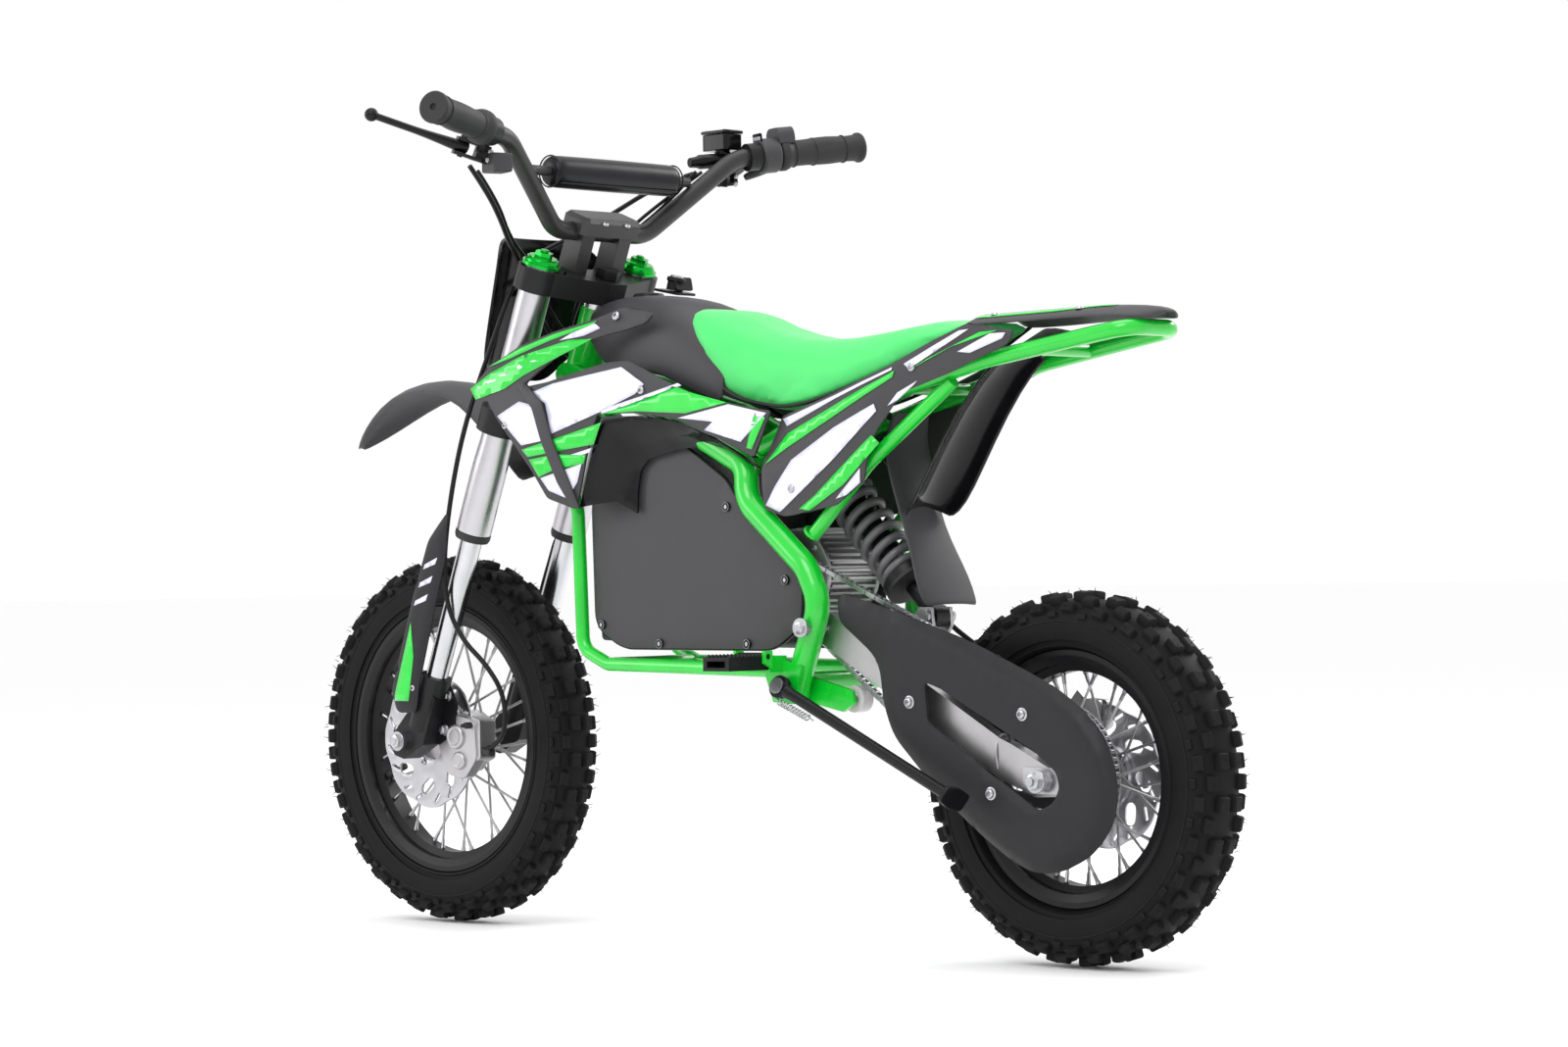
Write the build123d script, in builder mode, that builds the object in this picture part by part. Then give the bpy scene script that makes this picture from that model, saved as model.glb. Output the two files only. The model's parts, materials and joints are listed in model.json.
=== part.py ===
"""Ride-on electric mini dirt bike, 12 inch front and 10 inch rear wheel, as an assembly.

Row frame: +X forward, +Y to the rider's left, +Z up, millimetres, floor at z = 0.
Side outlines are written in bike coordinates: x forward from the rear axle, z above the floor.
"""
from build123d import *
from math import cos, pi, radians, sin, tan
import os

os.makedirs("parts", exist_ok=True)

# ---------------------------------------------------------------- driving dimensions
WHEELBASE = 1001.0
REAR_TYRE_R = 202.0          # 3.00-10 tyre over its knobs
FRONT_TYRE_R = 226.5         # 2.50-12 tyre over its knobs
REAR_TYRE_HALF_W = 40.0
FRONT_TYRE_HALF_W = 34.0
REAR_RIM_R = 138.0           # rim flange radius, 10 inch
FRONT_RIM_R = 163.5          # rim flange radius, 12 inch
RIM_HALF_W = 26.0
RAKE = 21.8                  # steering axis lean, degrees
STEER_X, STEER_Z = 725.5, 779.9   # steering axis at the top clamp's upper face
FORK_OFFSET = 33.6           # fork legs ahead of the steering axis
FORK_HALF = 79.0             # fork legs either side of the middle
FORK_TUBE_R = 20.0
STANCHION_R = 13.5
TOP_CLAMP_T = 28.0
TOP_BOSS, TOP_MIDDLE = 27.0, 22.0      # top clamp round its legs and round its stem
CLAMP_SWEEP = 50.0           # room round the steering axis for the turning top clamp
PIVOT_X, PIVOT_Z = 316.0, 365.0       # swingarm pivot
SPAR_Y = 83.0
SPAR_D = 28.0
CRADLE_Y = 74.0
CRADLE_D = 16.0
ARM_IN, ARM_OUT = 52.0, 67.0          # swingarm box between these y
CHAIN_Y = 46.0
MOTOR_X, MOTOR_Z, MOTOR_R = 392.0, 425.0, 52.0
STAND_PIVOT = (344.0, 106.0, 298.0)   # kickstand hinge, its folded foot and its tilted axis
STAND_FOOT = (80.0, 120.0, 183.0)
STAND_AXIS = (-0.099, 0.953, 0.286)
ROLLER_X, ROLLER_Z = 284.0, 285.0     # chain roller
PEG_X, PEG_Z = 372.0, 326.0           # footpeg hinge
PEG_FACE, PEG_DEPTH = 119.0, 27.0     # peg bracket's outer face and depth
PEG_HALF = 20.0
PEG_HINGE_Y, PEG_HINGE_Z = 124.0, 333.5
SHOCK_TOP = (370.0, 548.0)
SHOCK_LOW = (209.0, 376.0)
BAR_R = 11.0
BAR_X, BAR_Z = 737.0, 836.0           # handlebar middle
GRIP_TIP = (636.0, 353.0, 953.0)
AXLE_STUB, AXLE_END = 82.0, 92.0      # rear axle: 12 mm part and its 10 mm ends, either side
GAP = 0.3

REAR_X = -(WHEELBASE + FRONT_TYRE_R - REAR_TYRE_R) / 2   # rear axle, so the box is centred
FRONT_X = REAR_X + WHEELBASE
RAKE_SIN, RAKE_COS = sin(radians(RAKE)), cos(radians(RAKE))
STEER = Plane(
    origin=(REAR_X + STEER_X, 0, STEER_Z),
    x_dir=(RAKE_COS, 0, RAKE_SIN),
    z_dir=(-RAKE_SIN, 0, RAKE_COS),
)


# ---------------------------------------------------------------- helpers
def at(x, y, z):
    """Bike coordinates to the row frame."""
    return (REAR_X + x, y, z)


def side_plane(y):
    """Upright plane at y; local x is forward from the rear axle, local y is height."""
    return Plane(origin=(REAR_X, y, 0), x_dir=(1, 0, 0), z_dir=(0, -1, 0))


def steer_point(x, y, z):
    """Steering coordinates to the row frame."""
    return STEER.from_local_coords(Vector(x, y, z))


def stand_point(distance):
    """Point on the kickstand's hinge axis, so far outside its pivot."""
    return Vector(*at(*STAND_PIVOT)) + Vector(*STAND_AXIS) * distance


def mirrored(points):
    """The same route on the other side of the bike."""
    return [(x, -y, z) for x, y, z in points]


def tube(points, bends, diameter, bore=0):
    """Add a round tube along straight runs joined by tangent arcs."""
    with BuildLine() as route:
        if len(points) == 2:
            Line(*points)
        else:
            FilletPolyline(*points, radius=bends)
    with BuildSketch(Plane(origin=route.line @ 0, z_dir=route.line % 0)) as section:
        Circle(diameter / 2)
        if bore:
            Circle(bore / 2, mode=Mode.SUBTRACT)
    sweep(sections=section.sketch, path=route.line)


def bar(start, end, radius, bore=0, mode=Mode.ADD):
    """Add a straight round bar from one point to another."""
    run = Vector(*end) - Vector(*start)
    with BuildSketch(Plane(origin=start, z_dir=run)) as section:
        Circle(radius)
        if bore:
            Circle(bore, mode=Mode.SUBTRACT)
    extrude(section.sketch, amount=run.length, mode=mode)


def plate(plane, points, thickness, corner=0, mode=Mode.ADD):
    """Add a flat plate of a closed outline, with one radius on all its corners."""
    with BuildSketch(plane) as outline:
        with BuildLine():
            Polyline(*points, close=True)
        make_face()
        if corner:
            fillet(outline.vertices(), corner)
    extrude(outline.sketch, amount=thickness, mode=mode)


def cross_bar(x, z, y_from, y_to, radius, bore=0, mode=Mode.ADD):
    """Add a round bar across the bike."""
    bar(at(x, y_from, z), at(x, y_to, z), radius, bore, mode)


def ring(plane, profile):
    """Revolve a closed (radius, along) profile about the plane's normal."""
    with BuildSketch(Plane(origin=plane.origin, x_dir=plane.x_dir, z_dir=-plane.y_dir)) as section:
        with BuildLine():
            Polyline(*profile, close=True)
        make_face()
    revolve(section.sketch, axis=Axis(plane.origin, plane.z_dir))


def save(builder, label):
    """Label the finished piece and write it."""
    builder.part.label = label
    export_step(builder.part, f"parts/{label}.step")


def curved_panel(outline, wall, skin, low, high):
    """A thin panel: its side outline kept from an upright wall that follows (x, y) stations."""
    inner = [(x, y - skin) for x, y in reversed(wall)]
    with BuildSketch(Plane(origin=(REAR_X, 0, low))) as strip:
        with BuildLine():
            Polyline(*wall, *inner, close=True)
        make_face()
    extrude(strip.sketch, amount=high - low)
    with BuildSketch(side_plane(200)) as shape:
        with BuildLine():
            Polyline(*outline, close=True)
        make_face()
    extrude(shape.sketch, amount=400, mode=Mode.INTERSECT)


# ---------------------------------------------------------------- frame
SPAR_ROUTE = [at(775, 22, 668), at(690, 58, 650), at(560, 66, 612), at(430, 70, 548),
              at(424, 76, 508), at(326, SPAR_Y, 432), at(306, SPAR_Y, 392), at(345, SPAR_Y, 292)]
SPAR_BENDS = [40, 60, 30, 45, 45, 45]
CRADLE_ROUTE = [at(772, 14, 640), at(722, CRADLE_Y, 560), at(703, CRADLE_Y, 500), at(697, CRADLE_Y, 340),
                at(655, CRADLE_Y, 322), at(352, SPAR_Y, 316)]
CRADLE_BENDS = [40, 30, 24, 24]
HEAD_TOP, HEAD_LOW = -TOP_CLAMP_T - 8, -168     # ends of the head tube along the steering axis

with BuildPart() as main_frame:
    for side in (1, -1):
        spar = SPAR_ROUTE if side > 0 else mirrored(SPAR_ROUTE)
        cradle = CRADLE_ROUTE if side > 0 else mirrored(CRADLE_ROUTE)
        tube(spar, SPAR_BENDS, SPAR_D)
        tube(cradle, CRADLE_BENDS, CRADLE_D)
    for x, z, reach, radius in ((560, 612, 66, 9), (430, 548, 70, 9), (352, 304, SPAR_Y, 11),
                                (660, 323, CRADLE_Y, 7), (475, 318, CRADLE_Y, 7)):
        cross_bar(x, z, -reach, reach, radius)
    bar(steer_point(0, 0, HEAD_LOW), steer_point(0, 0, HEAD_TOP), 22)
    bar(steer_point(0, 0, HEAD_LOW - 20), steer_point(0, 0, HEAD_TOP + 1), 16.5,
        mode=Mode.SUBTRACT)
    for side in (1, -1):
        plate(side_plane(side * 16 + 3), ((362, 532), (362, 562), (402, 566), (442, 556), (438, 540),
                                          (384, 530)), 6)
        plate(side_plane(side * 95 + 3), ((322, 322), (352, 330), (378, 312), (366, 282), (334, 280)), 6)
        plate(side_plane(side * PEG_FACE), ((PEG_X + 20, PEG_Z + 8), (PEG_X - 22, PEG_Z + 8),
                                            (PEG_X - 22, PEG_Z - 10), (PEG_X + 20, PEG_Z - 10)),
              side * PEG_DEPTH)
        cross_bar(360, 302, side * 70, side * 98, 7)
        for lug in (PEG_X + PEG_HALF + GAP, PEG_X - PEG_HALF - GAP - 4):
            inner, outer = side * (PEG_FACE - 2), side * (PEG_HINGE_Y + 6)
            plate(Plane(origin=at(lug, 0, 0), x_dir=(0, 1, 0), z_dir=(1, 0, 0)),
                  ((inner, 320), (outer, 326), (outer, 340), (inner, 340)), 4)
        bar(at(PEG_X - 30, side * PEG_HINGE_Y, PEG_HINGE_Z), at(PEG_X + 30, side * PEG_HINGE_Y, PEG_HINGE_Z),
            3.3, mode=Mode.SUBTRACT)
    plate(side_plane(66), ((350, 296), (346, 282), (ROLLER_X + 6, ROLLER_Z - 14),
                           (ROLLER_X - 12, ROLLER_Z - 4), (ROLLER_X - 8, ROLLER_Z + 10), (340, 310)), 5)
    cross_bar(ROLLER_X, ROLLER_Z, 34, 62, 5)
    plate(side_plane(78), ((366, 296), (362, 282), (340, 279), (340, 308), (350, 313)), 17)
    cross_bar(PIVOT_X, PIVOT_Z, -110, 110, 6.05, mode=Mode.SUBTRACT)
    cross_bar(*SHOCK_TOP, -20, 20, 5.05, mode=Mode.SUBTRACT)
save(main_frame, "main_frame")

RAIL_ROUTE = [at(414, 66, 566), at(360, 66, 590), at(90, 52, 652), at(-60, 44, 674),
              at(-104, 40, 680), at(-104, -40, 680), at(-60, -44, 674), at(90, -52, 652),
              at(360, -66, 590), at(414, -66, 566)]
STAY_ROUTE = [at(332, 64, 468), at(250, 62, 545), at(130, 55, 632)]
with BuildPart() as rear_subframe:
    tube(RAIL_ROUTE, [60, 200, 60, 24, 24, 60, 200, 60], 18)
    tube(STAY_ROUTE, [120], 16)
    tube(mirrored(STAY_ROUTE), [120], 16)
    cross_bar(200, 627, -56, 56, 7)
    cross_bar(20, 662, -46, 46, 7)
save(rear_subframe, "rear_subframe")

# ---------------------------------------------------------------- power pack and body work
PACK_OUTLINE = ((680, 350), (682, 515), (664, 560), (590, 585), (520, 560), (462, 505), (448, 340))
with BuildPart() as battery_pack:
    plate(side_plane(60), PACK_OUTLINE, 120, corner=6)
save(battery_pack, "battery_pack")

COVER_OUTLINE = ((680, 366), (684, 512), (656, 592), (560, 592), (462, 532), (448, 512), (372, 452),
                 (345, 414), (349, 366), (390, 340), (636, 341))
COVER_SCREWS = ((461, 502), (370, 418), (431, 346), (572, 346), (668, 368))
with BuildPart() as side_covers:
    for face in (70, -66.5):
        plate(side_plane(face), COVER_OUTLINE, 3.5, corner=8)
save(side_covers, "side_covers")

with BuildPart() as motor:
    with BuildSketch(side_plane(30)):
        with Locations((MOTOR_X, MOTOR_Z)):
            Circle(MOTOR_R - 8)
    extrude(amount=88)
    for fin in range(9):
        with BuildSketch(side_plane(24 - fin * 9)):
            with Locations((MOTOR_X, MOTOR_Z)):
                Circle(MOTOR_R)
        extrude(amount=4)
    cross_bar(MOTOR_X, MOTOR_Z, 30, 36, 30)
    plate(side_plane(28), ((MOTOR_X, MOTOR_Z + 40), (MOTOR_X + 44, MOTOR_Z + 30),
                           (MOTOR_X + 44, MOTOR_Z - 30), (MOTOR_X, MOTOR_Z - 40)), 84)
save(motor, "motor")

SHROUD_WALL = ((330, 93), (455, 97), (560, 101), (640, 108), (700, 115), (740, 119), (845, 121))
MAIN_SHROUD = ((755, 648), (711, 653), (654, 665), (619, 672), (584, 673), (527, 648), (483, 631),
               (447, 622), (402, 613), (365, 607), (392, 556), (455, 583), (513, 604), (571, 612),
               (631, 613), (649, 566), (658, 537), (669, 503), (712, 517), (736, 553), (759, 580),
               (787, 610), (807, 634), (830, 656), (806, 676), (757, 699), (710, 713), (653, 725),
               (613, 737), (583, 731), (567, 727), (578, 717), (608, 710), (639, 705), (667, 699),
               (711, 681), (734, 665))
SCOOP_OUTLINE = ((667, 505), (655, 537), (645, 565), (629, 610), (571, 609), (513, 601), (455, 580),
                 (418, 560), (398, 541), (450, 566), (484, 572), (528, 570), (579, 560), (593, 547),
                 (598, 524), (599, 496), (625, 512))
SIDE_PANEL = ((386, 546), (360, 601), (280, 625), (199, 652), (149, 671), (99, 688), (37, 678),
              (44, 668), (121, 640), (186, 621), (223, 580), (240, 530), (283, 502), (358, 491))


def side_pair(outline, wall, skin):
    """A left panel and its mirror image as two solids of one node."""
    curved_panel(outline, wall, skin, 450, 760)
    mirror(about=Plane.XZ)


with BuildPart() as shroud_left:
    curved_panel(MAIN_SHROUD, SHROUD_WALL, 3, 450, 760)
save(shroud_left, "shroud_left")

with BuildPart() as shroud_right:
    curved_panel(MAIN_SHROUD, SHROUD_WALL, 3, 450, 760)
    mirror(about=Plane.XZ, mode=Mode.REPLACE)
save(shroud_right, "shroud_right")

SCOOP_WALL = tuple((x, y - 4) for x, y in SHROUD_WALL)
with BuildPart() as scoops:
    side_pair(SCOOP_OUTLINE, SCOOP_WALL, 3)
save(scoops, "scoops")

REAR_WALL = ((20, 62), (140, 76), (240, 82), (400, 86))
with BuildPart() as side_panels:
    side_pair(SIDE_PANEL, REAR_WALL, 3)
save(side_panels, "side_panels")

TANK_TOP = ((732, 728), (728, 742), (692, 754), (625, 755), (560, 746), (541, 737))
TANK_LOW = ((519, 700), (464, 632), (520, 646), (584, 676), (640, 674), (696, 684), (728, 718))
TANK_PLAN = ((740, 24), (705, 36), (662, 56), (600, 70), (440, 70))


def plan_outline(half_plan, inset):
    """Plan sketch points: one side's outline, drawn in by inset, then its mirror image."""
    left = [(x, y - inset) for x, y in half_plan]
    return left + [(x, -y) for x, y in reversed(left)]


with BuildPart() as tank_void:
    plate(side_plane(66), ((730, 640), (722, 738), (690, 749), (625, 750), (560, 741), (545, 734),
                           (523, 698), (470, 620)), 132)
    plate(Plane(origin=(REAR_X, 0, 560)), plan_outline(TANK_PLAN, 4), 300, mode=Mode.INTERSECT)

with BuildPart() as tank_cover:
    plate(side_plane(70), TANK_TOP + TANK_LOW, 140)
    plate(Plane(origin=(REAR_X, 0, 560)), plan_outline(TANK_PLAN, 0), 300, mode=Mode.INTERSECT)
    add(tank_void.part, mode=Mode.SUBTRACT)
    bar(steer_point(0, 0, -200), steer_point(0, 0, 20), 30, mode=Mode.SUBTRACT)
    bar(steer_point(0, 0, -TOP_CLAMP_T - 3), steer_point(0, 0, 20), CLAMP_SWEEP, mode=Mode.SUBTRACT)
save(tank_cover, "tank_cover")

SEAT_OUTLINE = ((538, 735), (491, 727), (429, 703), (389, 689), (340, 681), (285, 680), (191, 690),
                (112, 697), (104, 686), (216, 646), (290, 625), (362, 609), (442, 625), (516, 703))
with BuildPart() as seat_cushion:
    plate(side_plane(72), SEAT_OUTLINE, 144)
    fillet(seat_cushion.edges().filter_by(Axis.Y).group_by(Axis.Z)[-1], 8)
    with BuildSketch(Plane(origin=(REAR_X, 0, 560))):
        with BuildLine():
            Polyline((545, 44), (500, 54), (440, 70), (340, 72), (220, 66), (100, 52),
                     (100, -52), (220, -66), (340, -72), (440, -70), (500, -54), (545, -44), close=True)
        make_face()
    extrude(amount=220, mode=Mode.INTERSECT)
save(seat_cushion, "seat_cushion")

TAIL_OUTLINE = ((100, 701), (12, 704), (-56, 705), (-109, 702), (-128, 696), (-122, 691), (-42, 694),
                (60, 695), (100, 692))
with BuildPart() as tail_fender:
    plate(side_plane(70), TAIL_OUTLINE, 140)
    with BuildSketch(Plane(origin=(REAR_X, 0, 600))):
        with BuildLine():
            Polyline((101, 54), (-60, 48), (-110, 40), (-129, 22), (-129, -22), (-110, -40),
                     (-60, -48), (101, -54), close=True)
        make_face()
    extrude(amount=200, mode=Mode.INTERSECT)
save(tail_fender, "tail_fender")

with BuildPart() as inner_fender:
    plate(side_plane(42), ((300, 600), (246, 560), (190, 560), (120, 606), (40, 652), (34, 646),
                           (112, 598), (186, 553), (250, 553), (304, 594)), 84)
    for face in (45, -42):
        plate(side_plane(face), ((300, 598), (246, 560), (222, 505), (180, 498), (134, 520), (92, 586),
                                 (40, 646), (120, 606), (190, 562), (246, 562)), 3)
save(inner_fender, "inner_fender")

with BuildPart() as mud_flap:
    plate(side_plane(60), ((240, 548), (222, 480), (196, 430), (182, 388), (178, 388), (192, 432),
                           (218, 482), (236, 548)), 120)
    with BuildSketch(Plane(origin=(REAR_X, 0, 0), x_dir=(0, 1, 0), z_dir=(1, 0, 0))):
        with BuildLine():
            Polyline((-40, 549), (-34, 500), (-38, 450), (-50, 400), (-44, 387), (44, 387), (50, 400),
                     (38, 450), (34, 500), (40, 549), close=True)
        make_face()
    extrude(amount=400, mode=Mode.INTERSECT)
save(mud_flap, "mud_flap")

with BuildPart() as frame_fasteners:
    for x, z in COVER_SCREWS:
        cross_bar(x, z, 70.2, 73.5, 5)
        cross_bar(x, z, -73.5, -70.2, 5)
    cross_bar(PIVOT_X, PIVOT_Z, -SPAR_Y - 16, SPAR_Y + 16, 6)
    for side in (1, -1):
        with BuildSketch(side_plane(side * (SPAR_Y + 18.5) + 3.5)):
            with Locations((PIVOT_X, PIVOT_Z)):
                RegularPolygon(10, 6)
        extrude(amount=7)
    cross_bar(*SHOCK_TOP, -19, 19, 5)
    bar(stand_point(-6), stand_point(12.5), 5)
    bar(stand_point(8.4), stand_point(12.5), 9)
save(frame_fasteners, "frame_fasteners")

with BuildPart() as head_bearings:
    for low, high in ((-TOP_CLAMP_T - 7.8, -TOP_CLAMP_T - 1), (-176, -168.2)):
        bar(steer_point(0, 0, low), steer_point(0, 0, high), 24, bore=15.2)
save(head_bearings, "head_bearings")

# ---------------------------------------------------------------- steering head
LEG_SPOTS = [(FORK_OFFSET, FORK_HALF), (FORK_OFFSET, -FORK_HALF)]


def clamp_outline(boss, middle):
    """Outline of a fork clamp: two fork bosses joined through the steering boss."""
    with Locations(*LEG_SPOTS):
        Circle(boss)
    Circle(middle)
    with BuildLine() as web:
        Polyline((FORK_OFFSET - boss, FORK_HALF), (-middle, 14), (-middle, -14),
                 (FORK_OFFSET - boss, -FORK_HALF), (FORK_OFFSET + boss - 6, -FORK_HALF),
                 (middle + 14, -20), (middle + 14, 20), (FORK_OFFSET + boss - 6, FORK_HALF), close=True)
    make_face(web.edges())


with BuildPart() as top_clamp:
    with BuildSketch(STEER.offset(-TOP_CLAMP_T)):
        clamp_outline(TOP_BOSS, TOP_MIDDLE)
        with Locations(*LEG_SPOTS):
            Circle(FORK_TUBE_R + 0.05, mode=Mode.SUBTRACT)
        Circle(12.55, mode=Mode.SUBTRACT)
    extrude(amount=TOP_CLAMP_T)
    for side in (1, -1):
        with BuildSketch(STEER.offset(-TOP_CLAMP_T)):
            with Locations((FORK_OFFSET - 20, side * (FORK_HALF - 22))):
                Rectangle(24, 3, rotation=side * -48)
        extrude(amount=TOP_CLAMP_T, mode=Mode.SUBTRACT)
save(top_clamp, "top_clamp")

with BuildPart() as bottom_clamp:
    with BuildSketch(STEER.offset(-208)):
        clamp_outline(28, 24)
        with Locations(*LEG_SPOTS):
            Circle(FORK_TUBE_R + 0.05, mode=Mode.SUBTRACT)
    extrude(amount=30)
    bar(steer_point(0, 0, -180), steer_point(0, 0, 1), 12.5)
    with BuildSketch(STEER.offset(0.2)):
        RegularPolygon(15, 6)
    extrude(amount=12)
save(bottom_clamp, "bottom_clamp")

with BuildPart(STEER.offset(-343)) as fork_tubes:
    with Locations(*[(x, y, 0) for x, y in LEG_SPOTS]):
        Cylinder(FORK_TUBE_R, 345, align=(Align.CENTER, Align.CENTER, Align.MIN))
        Cylinder(FORK_TUBE_R + 1.5, 10, align=(Align.CENTER, Align.CENTER, Align.MIN))
        Cylinder(STANCHION_R + GAP, 335, align=(Align.CENTER, Align.CENTER, Align.MIN),
                 mode=Mode.SUBTRACT)
save(fork_tubes, "fork_tubes")

with BuildPart(STEER.offset(2.1)) as fork_caps:
    with Locations(*[(x, y, 0) for x, y in LEG_SPOTS]):
        Cylinder(23.5, 4, align=(Align.CENTER, Align.CENTER, Align.MIN))
        Cylinder(17, 11, align=(Align.CENTER, Align.CENTER, Align.MIN))
    with BuildSketch(STEER.offset(13)):
        with Locations(*LEG_SPOTS):
            RegularPolygon(11, 6)
    extrude(amount=6)
save(fork_caps, "fork_caps")

BAR_ROUTE = [at(BAR_X, 0, BAR_Z), at(BAR_X, 74, BAR_Z), at(692, 188, 933), at(*GRIP_TIP)]
BAR_LOCAL = STEER.to_local_coords(Vector(*BAR_ROUTE[0]))
with BuildPart() as handlebar:
    tip_in = Vector(*BAR_ROUTE[3]) - Vector(*BAR_ROUTE[2])
    end = Vector(*BAR_ROUTE[3]) - tip_in.normalized() * 5
    left = BAR_ROUTE[:3] + [tuple(end)]
    tube(list(reversed(mirrored(left)))[:-1] + left[1:], [52, 42, 42, 52], 2 * BAR_R, 17)
    bar(at(715, -128, 902), at(715, 128, 902), 6)
save(handlebar, "handlebar")

with BuildPart() as bar_clamp:
    bar_h = BAR_LOCAL.Z
    for y in (30, -30):
        with BuildSketch(STEER.offset(0.2)):
            with Locations((BAR_LOCAL.X, y)):
                Rectangle(30, 20)
        extrude(amount=bar_h - 0.6)
    with BuildSketch(STEER.offset(bar_h + 0.4)) as cap:
        with Locations((BAR_LOCAL.X, 0)):
            Rectangle(46, 96)
        chamfer(cap.vertices(), 7)
    extrude(amount=21)
    chamfer(bar_clamp.faces().sort_by(Axis.Z)[-1].edges(), 5)
    bar(at(BAR_X, -60, BAR_Z), at(BAR_X, 60, BAR_Z), BAR_R + 0.05, mode=Mode.SUBTRACT)
save(bar_clamp, "bar_clamp")

with BuildPart() as bar_pad:
    with BuildSketch(Plane(origin=at(715, -106, 902), x_dir=(0, 0, 1), z_dir=(0, 1, 0))):
        Circle(21)
        Circle(6.2, mode=Mode.SUBTRACT)
    extrude(amount=212)
save(bar_pad, "bar_pad")


def along_grip(side, back):
    """Point on the handlebar end's axis, so far back from the grip's tip."""
    tip = Vector(*at(GRIP_TIP[0], side * GRIP_TIP[1], GRIP_TIP[2]))
    knee = Vector(*at(692, side * 188, 933))
    return tip + (knee - tip).normalized() * back


def grip(side):
    """A hollow grip with an end flange and an inner flange."""
    bar(along_grip(side, 118), along_grip(side, 0), 15.5, bore=BAR_R + 0.1)
    bar(along_grip(side, 118), along_grip(side, 104), 19, bore=BAR_R + 0.1)
    bar(along_grip(side, 5), along_grip(side, 0), 17, bore=2)
    bar(along_grip(side, 4.9), along_grip(side, 0), 16)


with BuildPart() as grip_left:
    grip(1)
save(grip_left, "grip_left")

with BuildPart() as throttle_grip:
    grip(-1)
save(throttle_grip, "throttle_grip")

with BuildPart() as throttle_housing:
    bar(along_grip(-1, 143.5), along_grip(-1, 119), 21, bore=BAR_R + 0.1)
save(throttle_housing, "throttle_housing")

RIGHT_SLIDE = 24.0            # the right perch sits inboard of the throttle housing
LEVER_PIVOT = (718.0, 236.0, 922.0)
LEVER_BALL = (768.0, 330.0, 957.0)
LEVER_DIR = (Vector(*LEVER_BALL) - Vector(*LEVER_PIVOT)).normalized()
GRIP_DIR = (along_grip(1, 0) - along_grip(1, 100)).normalized()
LEVER_AXIS = LEVER_DIR.cross(GRIP_DIR).normalized()


def lever_plane(side, slide):
    """Plane of a lever's swing at its pivot: local x along the lever, local y ahead of it."""
    origin = Vector(*at(*LEVER_PIVOT)) - GRIP_DIR * slide
    x_dir, z_dir = LEVER_DIR, LEVER_AXIS
    if side < 0:
        origin = Vector(origin.X, -origin.Y, origin.Z)
        x_dir = Vector(x_dir.X, -x_dir.Y, x_dir.Z)
        z_dir = Vector(z_dir.X, -z_dir.Y, z_dir.Z)
    return Plane(origin=origin, x_dir=x_dir, z_dir=z_dir)


def perch_clamp(side, slide):
    """Clamp ring on the bar and the arm to the lever's fork, moved in along the bar by slide."""
    bar(along_grip(side, slide + 136), along_grip(side, slide + 120), 17, bore=BAR_R + 0.1)
    arm = lever_plane(side, slide)
    for z in (6.5, -10.5):
        with BuildSketch(arm.offset(z)) as cheek:
            with BuildLine():
                Polyline((9, 8), (9, -7), (-14, -14), (-32, 6), (-22, 22), (-6, 16), close=True)
            make_face()
        extrude(cheek.sketch, amount=4)
    with BuildSketch(arm.offset(-10.5)) as block:
        with Locations((-22, 6)):
            Rectangle(14, 20)
    extrude(block.sketch, amount=21)
    bar(arm.from_local_coords(Vector(-21, 8, 2)), along_grip(side, slide + 128), 7)
    bar(along_grip(side, slide + 150), along_grip(side, slide + 110), BAR_R + 0.1, mode=Mode.SUBTRACT)
    bar(arm.from_local_coords(Vector(0, 0, -14)), arm.from_local_coords(Vector(0, 0, 14)), 3.05,
        mode=Mode.SUBTRACT)


with BuildPart() as lever_perches:
    perch_clamp(1, 0)
    perch_clamp(-1, RIGHT_SLIDE)
    add(handlebar.part, mode=Mode.SUBTRACT)
save(lever_perches, "lever_perches")


def brake_lever(side, slide):
    """Lever blade, its ball end and its pivot pin."""
    swing = lever_plane(side, slide)
    reach = (Vector(*LEVER_BALL) - Vector(*LEVER_PIVOT)).length
    with BuildSketch(swing.offset(-5)) as blade:
        with BuildLine():
            Polyline((-6, -5), (-6, 6), (10, 9), (40, 9), (reach, 3.5), (reach, -3.5), (40, -3), (10, -7),
                     close=True)
        make_face()
    extrude(blade.sketch, amount=10)
    with Locations(swing.location * Pos(reach, 0, 0)):
        Sphere(8)
    bar(swing.from_local_coords(Vector(0, 0, -11)), swing.from_local_coords(Vector(0, 0, 11)), 3)


with BuildPart() as brake_lever_left:
    brake_lever(1, 0)
save(brake_lever_left, "brake_lever_left")

with BuildPart() as brake_lever_right:
    brake_lever(-1, RIGHT_SLIDE)
save(brake_lever_right, "brake_lever_right")

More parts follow.
